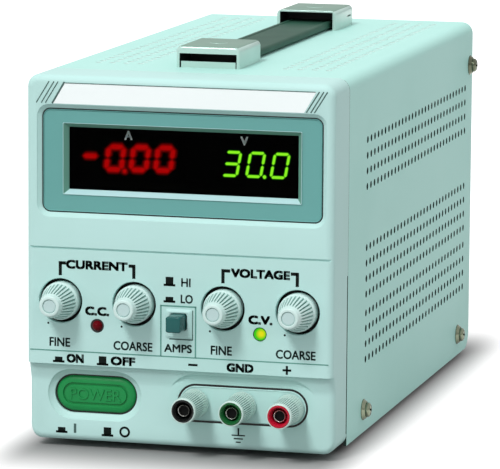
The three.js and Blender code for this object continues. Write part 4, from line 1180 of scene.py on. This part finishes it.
def stud(name, place_x):
    """The threaded core with its socket and shoulder, the nut behind the panel and the tail."""
    profile = [(axis_gap, 1.5), (2.0, 1.5), (2.0, -12.1), (2.15, -12.4), (2.3, -12.5), (2.42, -12.4)]
    profile += [(2.6, -11.9), (2.9, -11.0), (2.9, 4.2), (5.1, 4.25), (5.2, 4.4), (5.2, 5.0)]
    profile += [(2.9, 5.0), (2.9, 10.7)]
    body = turned(name, profile + [(axis_gap, 10.7)], place_x, posts_z, 48)
    nut = [(2.95, 10.75), (4.6, 10.75), (4.6, 13.6), (2.95, 13.6)]
    tail = [(axis_gap, 10.6), (2.9, 10.6), (2.9, 17.4), (2.6, 17.7), (axis_gap, 17.7)]
    others = [turned("nut", nut, place_x, posts_z, 6, closed=True)]
    others.append(turned("tail", tail, place_x, posts_z, 32))
    return joined(body, others)


# A black disc deep in each socket: painted shade for its dark bore.
def socket_floor(place_x):
    profile = [(axis_gap, -10.9), (1.96, -10.9), (1.96, -10.2), (axis_gap, -10.2)]
    return turned("socket_floor", profile, place_x, posts_z, 32)


sleeve_plastic = skin("sleeve_plastic", (206, 230, 223), (194, 219, 211), 0.35, 1500, 0.003, shine=0.3)
socket_painted_shade = skin("socket_painted_shade", (6, 7, 7), (12, 13, 13), 0.6, shine=0.1)
bright_plate = skin("bright_plate", (206, 206, 202), (178, 178, 172), 0.16, 600, 0.001, metallic=1.0)
post_looks = (
    ("negative", (6, 9, 9), "black_plastic"),
    ("ground", (16, 92, 44), "green_plastic"),
    ("positive", (180, 14, 44), "red_plastic"),
)
for (post, tone, slot), place_x in zip(post_looks, post_places):
    dull = [value * ring_dulling for value in tone]
    gloss = skin("ring_" + post, tone, dull, 0.2, 900, 0.001, shine=0.3)
    cap = sleeve("sleeve_" + post, place_x)
    dress(cap, "sleeve_" + post, "knob_plastic", sleeve_plastic, "terminal_sleeve_" + post)
    shade_grooves(cap, place_x, posts_z, sleeve_ribs)
    dress(socket_floor(place_x), "case", "black_plastic", socket_painted_shade)
    ring = coloured_ring("ring_" + post, place_x)
    dress(ring, "insert_" + post, slot, gloss, "terminal_insert_" + post)
    dress(stud("stud_" + post, place_x), "case", "chrome", bright_plate, "terminal_stud_" + post)


# Cover
# One sheet of steel, pierced, bent over the top and both sides and painted mint. Each side
# has twelve rows of round holes, and the top has four rows on each side of the handle.
cover_front, cover_back = depth_span("top_cover")
sheet = 1.2
hole_radius = 1.5
hole_pitch = 6.4
band_half = 1.9
first_hole = 51.2
side_first_column = 1
columns_of_holes = 32
row_pitch, row_tops = 6.45, (49.5, 76.7, 121.4)
side_rows = [top - row_pitch * row for top in row_tops for row in (3, 2, 1, 0)]
top_rows = [31.0, 37.0, 43.0, 49.0]
rear_corner = 8.0


def cover_lines():
    """Lines along the sheet's bent outline: place, outward direction and the kind of band above."""
    half, bend = case_half, corner_round
    side = [(0.0, "plain")]
    for z in side_rows:
        side += [(z - band_half, "side"), (z + band_half, "plain")]
    side.append((case_tall - bend, "bend"))
    lines = [(-half, z, -1.0, 0.0, kind) for z, kind in side]
    for turn in quarter(8)[1:-1]:
        out_x, out_z = -math.cos(turn), math.sin(turn)
        x, z = bend * (1 + out_x) - half, case_tall - bend * (1 - out_z)
        lines.append((x, z, out_x, out_z, "bend"))
    lines.append((-half + bend, case_tall, 0.0, 1.0, "plain"))
    for x in reversed(top_rows):
        for edge, kind in ((-x - band_half, "top"), (-x + band_half, "plain")):
            lines.append((edge, case_tall, 0.0, 1.0, kind))
    mirrored = [(-x, z, -out_x, out_z, kind) for x, z, out_x, out_z, kind in reversed(lines)]
    kinds = [line[4] for line in lines]
    turned_kinds = list(reversed(kinds[:-1])) + ["plain"]
    return lines + [line[:4] + (kind,) for line, kind in zip(mirrored, turned_kinds)]


def cover_columns():
    edges = [cover_front]
    edges += [first_hole - hole_pitch / 2 + hole_pitch * i for i in range(columns_of_holes + 1)]
    return edges + [cover_back - rear_corner * (1 - math.sin(turn)) for turn in quarter(8)]


def pierced_cover():
    lines, columns = cover_lines(), cover_columns()
    points, faces, found = [], [], {}

    def point(key, x, y, z):
        if key not in found:
            found[key] = len(points)
            points.append((x, y, z))
        return found[key]

    def corner(i, j, skin_depth):
        x, z, out_x, out_z, _ = lines[i]
        y = columns[j]
        into = y - (cover_back - rear_corner)
        if i in (0, len(lines) - 1) and into > 0:
            z = rear_corner - math.sqrt(max(rear_corner ** 2 - into ** 2, 0))
        return point((i, j, skin_depth > 0), x - out_x * skin_depth, y, z - out_z * skin_depth)

    def hole(i, j, skin_depth):
        """Twelve points round a hole, starting at its front and turning towards the next line."""
        ax, az, out_x, out_z, _ = lines[i]
        bx, bz = lines[i + 1][:2]
        span = math.hypot(bx - ax, bz - az)
        ring = []
        for k in range(12):
            turn = math.radians(45 + 30 * k)
            along = hole_radius * math.sin(turn) / span
            x = (ax + bx) / 2 + (bx - ax) * along - out_x * skin_depth
            z = (az + bz) / 2 + (bz - az) * along - out_z * skin_depth
            y = (columns[j] + columns[j + 1]) / 2 + hole_radius * math.cos(turn)
            ring.append(point((i, j, skin_depth > 0, k), x, y, z))
        return ring

    for i in range(len(lines) - 1):
        kind = lines[i][4]
        for j in range(len(columns) - 1):
            first = 1 if kind == "top" else 1 + side_first_column
            pierced = kind in ("side", "top") and first <= j <= columns_of_holes
            for depth in (0.0, sheet):
                quad = [corner(i, j, depth), corner(i, j + 1, depth)]
                quad += [corner(i + 1, j + 1, depth), corner(i + 1, j, depth)]
                if not pierced:
                    faces.append(quad)
                    continue
                ring = hole(i, j, depth)
                for side in range(4):
                    start = ((side + 2) % 4) * 3
                    arc = [ring[(start + k) % 12] for k in range(3, -1, -1)]
                    faces.append([quad[side], quad[(side + 1) % 4]] + arc)
            if pierced:
                outer, inner = hole(i, j, 0.0), hole(i, j, sheet)
                for k in range(12):
                    m = (k + 1) % 12
                    faces.append([outer[k], outer[m], inner[m], inner[k]])
    rims = [((i, j), (i + 1, j)) for i in range(len(lines) - 1) for j in (0, len(columns) - 1)]
    rims += [((i, j), (i, j + 1)) for j in range(len(columns) - 1) for i in (0, len(lines) - 1)]
    for start, end in rims:
        faces.append([corner(*start, 0), corner(*end, 0), corner(*end, sheet), corner(*start, sheet)])
    return new_piece("pierced_cover", points, faces)


def cover_side(face):
    """The hole walls, cut edges and inside take a dark colour, painted shade, and the walls of the top
    holes take a colour lighter than the paint, painted light.
    """
    bend, centre = corner_round * MM, face.center
    half, high = case_half * MM, at(0, 0, case_tall).z
    away = math.hypot(max(abs(centre.x) - (half - bend), 0), max(centre.z - (high - bend), 0))
    outward = math.hypot(face.normal.x, face.normal.z) > 0.5
    if outward and bend - away < sheet * MM / 4:
        return 0
    return 2 if centre.z > high - sheet * MM and abs(face.normal.z) < 0.5 else 1


mint_paint = skin("mint_paint", (181, 229, 221), (172, 222, 213), 0.5, 420, 0.012, shine=0.13)
# Painted shade for hole walls, cut edges and the inside, and painted light for the walls of the top holes.
sheet_painted_shade = skin("sheet_painted_shade", (52, 72, 66), (40, 58, 52), 0.6, 420, 0.006, shine=0.2)
hole_painted_light = skin("hole_painted_light", (226, 248, 243), (214, 240, 234), 0.6, 420, 0.006, shine=0.1)
cover = dress(pierced_cover(), "case", "mint_paint", mint_paint, "top_cover")
face_looks(cover, [sheet_painted_shade, hole_painted_light], cover_side)


# Cover screws
# Cross-head steel screws, each with a pressed cup washer, hold the cover to the tray and to
# the rear panel.
cup_radius, cup_height = 4.4, 1.5
head_radius, head_height, dome_foot = 3.0, 1.9, 2.1
cross_half, cross_arm, cross_depth = 0.42, 2.0, 1.1
first_turn, turn_spread = 0.4, 9


def cover_screw(node):
    low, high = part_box(node)
    side = 1 if low.x > 0 else -1
    middle = (low + high) / 2
    profile = [(axis_gap, -8.0), (1.9, -8.0), (1.9, 0.0), (cup_radius, 0.0), (cup_radius, 0.3), (4.1, 0.5)]
    profile += [(3.6, 1.35), (3.35, cup_height), (3.15, cup_height - 0.3), (head_radius, 1.2)]
    profile.append((head_radius, dome_foot))
    for turn in quarter(8)[1:-1]:
        profile.append((head_radius * math.cos(turn) ** 0.7, dome_foot + 1.3 * math.sin(turn)))
    profile.append((axis_gap, cup_height + head_height))
    body = turned(node + "_plated", profile, 0, 0, 40)
    body.data.transform(Matrix.Translation(-at(0, 0, 0)))
    top = cup_height + head_height
    cross = []
    for wide, tall in ((cross_half, cross_arm), (cross_arm, cross_half)):
        cross.append(block("cross", -wide, wide, top - cross_depth, top + past, -tall, tall))
        cross[-1].data.transform(Matrix.Translation(-at(0, 0, 0)))
    carve(body, cross)
    turn = Matrix.Rotation(-side * math.pi / 2, 4, "Z")
    spin = Matrix.Rotation(first_turn + middle.y * turn_spread, 4, "Y")
    place = Vector((side * case_half * MM, middle.y, middle.z))
    body.data.transform(Matrix.Translation(place) @ turn @ spin)
    return body


zinc = skin("zinc", (140, 148, 126), (62, 66, 50), 0.2, metallic=1.0, dulling=0.95)
for side_name in ("left", "right"):
    for spot in ("front", "rear", "upper"):
        node = "cover_screw_%s_%s" % (side_name, spot)
        dress(cover_screw(node), "case", "chrome", zinc, node)


# Carrying handle
# A grey-green vinyl strap with a spring steel core runs between two plated end caps, pressed
# from sheet into an arch with a lip at the outer end and a dimple on top.
cap_half, cap_tall, cap_wall, cap_top = 13.5, 8.9, 1.4, 0.9
cap_round, arch_steps, roof_slope, wall_slope = 2.2, 8, 0.8, 0.9
lip_tall, rim_tall, lip_slit, lip_set_back, lip_drop = 2.65, 3.0, 0.55, 0.5, 0.4
slit_foot, slit_head, slit_start, slit_end = 4.2, 4.9, 4, 11
cap_rolls = (1.1, 0.35)
strap_half, strap_rise, strap_thick, strap_inset = 10.5, 0.5, 3.3, 12.0
strap_rim, strap_corner, strap_channel, strap_steps = 2.2, 1.2, 0.4, 24
stop_thick, stop_gap = 1.5, 0.1


def arch(half, tall, radius, y, foot):
    """The upper half of a rounded outline, standing on two square feet."""
    corners = rounded(half, tall / 2, radius, 0, foot + tall / 2, arch_steps)
    return level([(-half, foot), (half, foot)] + corners[:2 * (arch_steps + 1)], y)


def end_cap(node, outer_first):
    front, back = depth_span(node)
    front_edge, back_edge = cap_rolls if outer_first else cap_rolls[::-1]
    sections = [(deep, front + out) for out, deep in reversed(easing(front_edge, 4))]
    sections += [(deep, back - out) for out, deep in easing(back_edge, 4)]
    loops = [arch(cap_half - inset, cap_tall - inset, cap_round, y, case_tall) for inset, y in sections]
    cap = loft("plated_" + node, loops)
    outer, inner = (front, back) if outer_first else (back, front)
    step = 1 if outer_first else -1
    lip_end = outer + step * cap_wall
    inside = cap_half - cap_wall
    foot, roof = case_tall - past, case_tall + cap_tall - cap_top
    slot_foot, slot_head = case_tall + lip_tall, case_tall + cap_tall - rim_tall
    channel = sorted((lip_end, inner + step * past))
    slot = sorted((outer - step * past, lip_end + step * past))
    set_back = sorted((outer - step * past, outer + step * lip_set_back))
    slit = sorted((outer + step * slit_start, outer + step * slit_end))
    cutters = [
        block("channel", -inside, inside, *channel, foot, roof),
        block("slot", lip_slit - inside, inside - lip_slit, *slot, slot_foot, slot_head),
        block("set_back", -inside, inside, *set_back, foot, slot_head - lip_drop),
    ]
    for side in (-1, 1):
        across = sorted((side * inside, side * (inside - lip_slit)))
        cutters.append(block("lip_slit", *across, *slot, foot, slot_head))
        if not outer_first:
            across = sorted((side * (inside - past), side * (cap_half + past)))
            cutters.append(block("slit", *across, *slit, case_tall + slit_foot, case_tall + slit_head))
    return carve(cap, cutters)


def cap_dimple(node):
    middle = sum(depth_span(node)) / 2
    top = case_tall + cap_tall
    profile = ((3.6, 0.0), (3.5, 0.15), (3.0, 0.32), (2.2, 0.4), (axis_gap, 0.4))
    loops = []
    for radius, rise in profile:
        ring = [(radius * math.cos(turn), middle + radius * math.sin(turn)) for turn in circle(40)]
        loops.append([(x, y, top + rise - 0.02) for x, y in ring])
    return loft("dimple", loops)


def strap_span():
    front, back = depth_span("handle_strap")
    return front + strap_inset, back - strap_inset


def strap():
    """A flat bar with rounded edges and a shallow channel along its top."""
    front, back = strap_span()
    middle = case_tall + strap_rise + strap_thick / 2
    flat = strap_half - strap_rim
    section = rounded(strap_half, strap_thick / 2, strap_corner, 0, middle, 6)
    upper = sorted([point for point in section if point[1] > middle], key=lambda point: point[1])
    channel = flat - 0.35
    ridge = [(flat, -0.02), (channel, -strap_channel), (-channel, -strap_channel), (-flat, -0.02)]
    outline = sorted([point for point in section if point[1] <= middle])
    outline += [point for point in upper if point[0] > flat]
    outline += [(x, middle + strap_thick / 2 + dip) for x, dip in ridge]
    outline += [point for point in reversed(upper) if point[0] < -flat]
    places = [front + (back - front) * i / strap_steps for i in range(strap_steps + 1)]
    return loft("vinyl_strap", [level(outline, y) for y in places])


def strap_stops():
    """The bars that close the channel of each cap behind the strap's ends; they are black, painted shade
    for the dark hollow.
    """
    front, back = strap_span()
    half = cap_half - cap_wall - stop_gap
    foot, top = case_tall + stop_gap / 2, case_tall + cap_tall - cap_top - stop_gap / 2
    starts = (front - stop_thick, back)
    stops = [block("strap_stop", -half, half, start, start + stop_thick, foot, top) for start in starts]
    return joined(stops[0], stops[1:])


def cap_side(face):
    """The roof takes a darker copy of the metal, painted shade, while the rims keep the bright metal; the
    hollow behind the mouth is black, painted shade.
    """
    roof = at(0, 0, case_tall + cap_tall - cap_top + hair).z
    if face.normal.z > roof_slope and face.center.z > roof:
        return 1
    inner = abs(face.center.x) < (cap_half - cap_wall + hair) * MM and face.center.z < roof
    return 2 if inner and abs(face.normal.y) < wall_slope else 0


cap_metal = skin("cap_metal", (184, 212, 204), (156, 188, 179), 0.3, 500, 0.001, metallic=0.3)
# A darker copy of the cap metal: painted shade for the roof.
cap_roof_painted_shade = skin("cap_roof_painted_shade", (124, 154, 140), (108, 138, 125), 0.45, 500, 0.002, metallic=0.15, shine=0.2)
strap_vinyl = skin("strap_vinyl", (48, 88, 72), (34, 68, 57), 0.5, 700, 0.03, dulling=0.6, shine=0.12)
for node, outer_first in (("handle_cap_front", True), ("handle_cap_rear", False)):
    cap = joined(end_cap(node, outer_first), [cap_dimple(node)])
    face_looks(dress(cap, "case", "chrome", cap_metal, node), [cap_roof_painted_shade, painted_shade_black], cap_side)
dress(strap(), "case", "strap_vinyl", strap_vinyl, "handle_strap")
dress(strap_stops(), "case", "black_plastic", painted_shade_black)


# Tray, rear panel and rear fittings
# The tray is plated sheet steel and the rear panel is painted like the cover. The heat sink
# is a black anodised extrusion, and the inlet, its fuse drawer and the selector are moulded.
anodised = skin("anodised", (22, 23, 24), (34, 35, 36), 0.42, 300, 0.006, metallic=0.6)
fitting_black = skin("fitting_black", (16, 17, 17), (26, 27, 27), 0.45, 1200, 0.006)
slider_red = skin("slider_red", (176, 24, 20), (150, 18, 16), 0.35)
foot_rubber = skin("foot_rubber", (20, 21, 21), (34, 35, 35), 0.8, 900, 0.02)
clad(plated_steel, "bottom_chassis")
clad(mint_paint, "rear_panel")
clad(anodised, "heat_sink")
clad(fitting_black, "mains_inlet", "fuse_drawer", "voltage_selector")
clad(slider_red, "selector_slider")
for side_name in ("left", "right"):
    clad(foot_rubber, "foot_front_" + side_name, "foot_rear_" + side_name)


# Inside
# Through the holes one sees a little of the transformer with its taped winding, the board
# with its reservoir capacitor and rectifier, and the display's board.
laminations = skin("laminations", (70, 72, 74), (54, 56, 58), 0.5, 120, 0.03, metallic=0.7)
winding_tape = skin("winding_tape", (206, 176, 70), (184, 150, 52), 0.3, 300, 0.02)
board_mask = skin("board_mask", (28, 92, 50), (22, 78, 42), 0.35, 500, 0.006)
can_sleeve = skin("can_sleeve", (24, 30, 60), (18, 24, 48), 0.25, 300, 0.004)
clad(laminations, "transformer_core")
clad(winding_tape, "transformer_winding")
clad(board_mask, "main_board", "display_board")
clad(can_sleeve, "reservoir_capacitor")
clad(module_black, "bridge_rectifier")


def corners(box):
    return [[float(value) for value in corner] for corner in box]
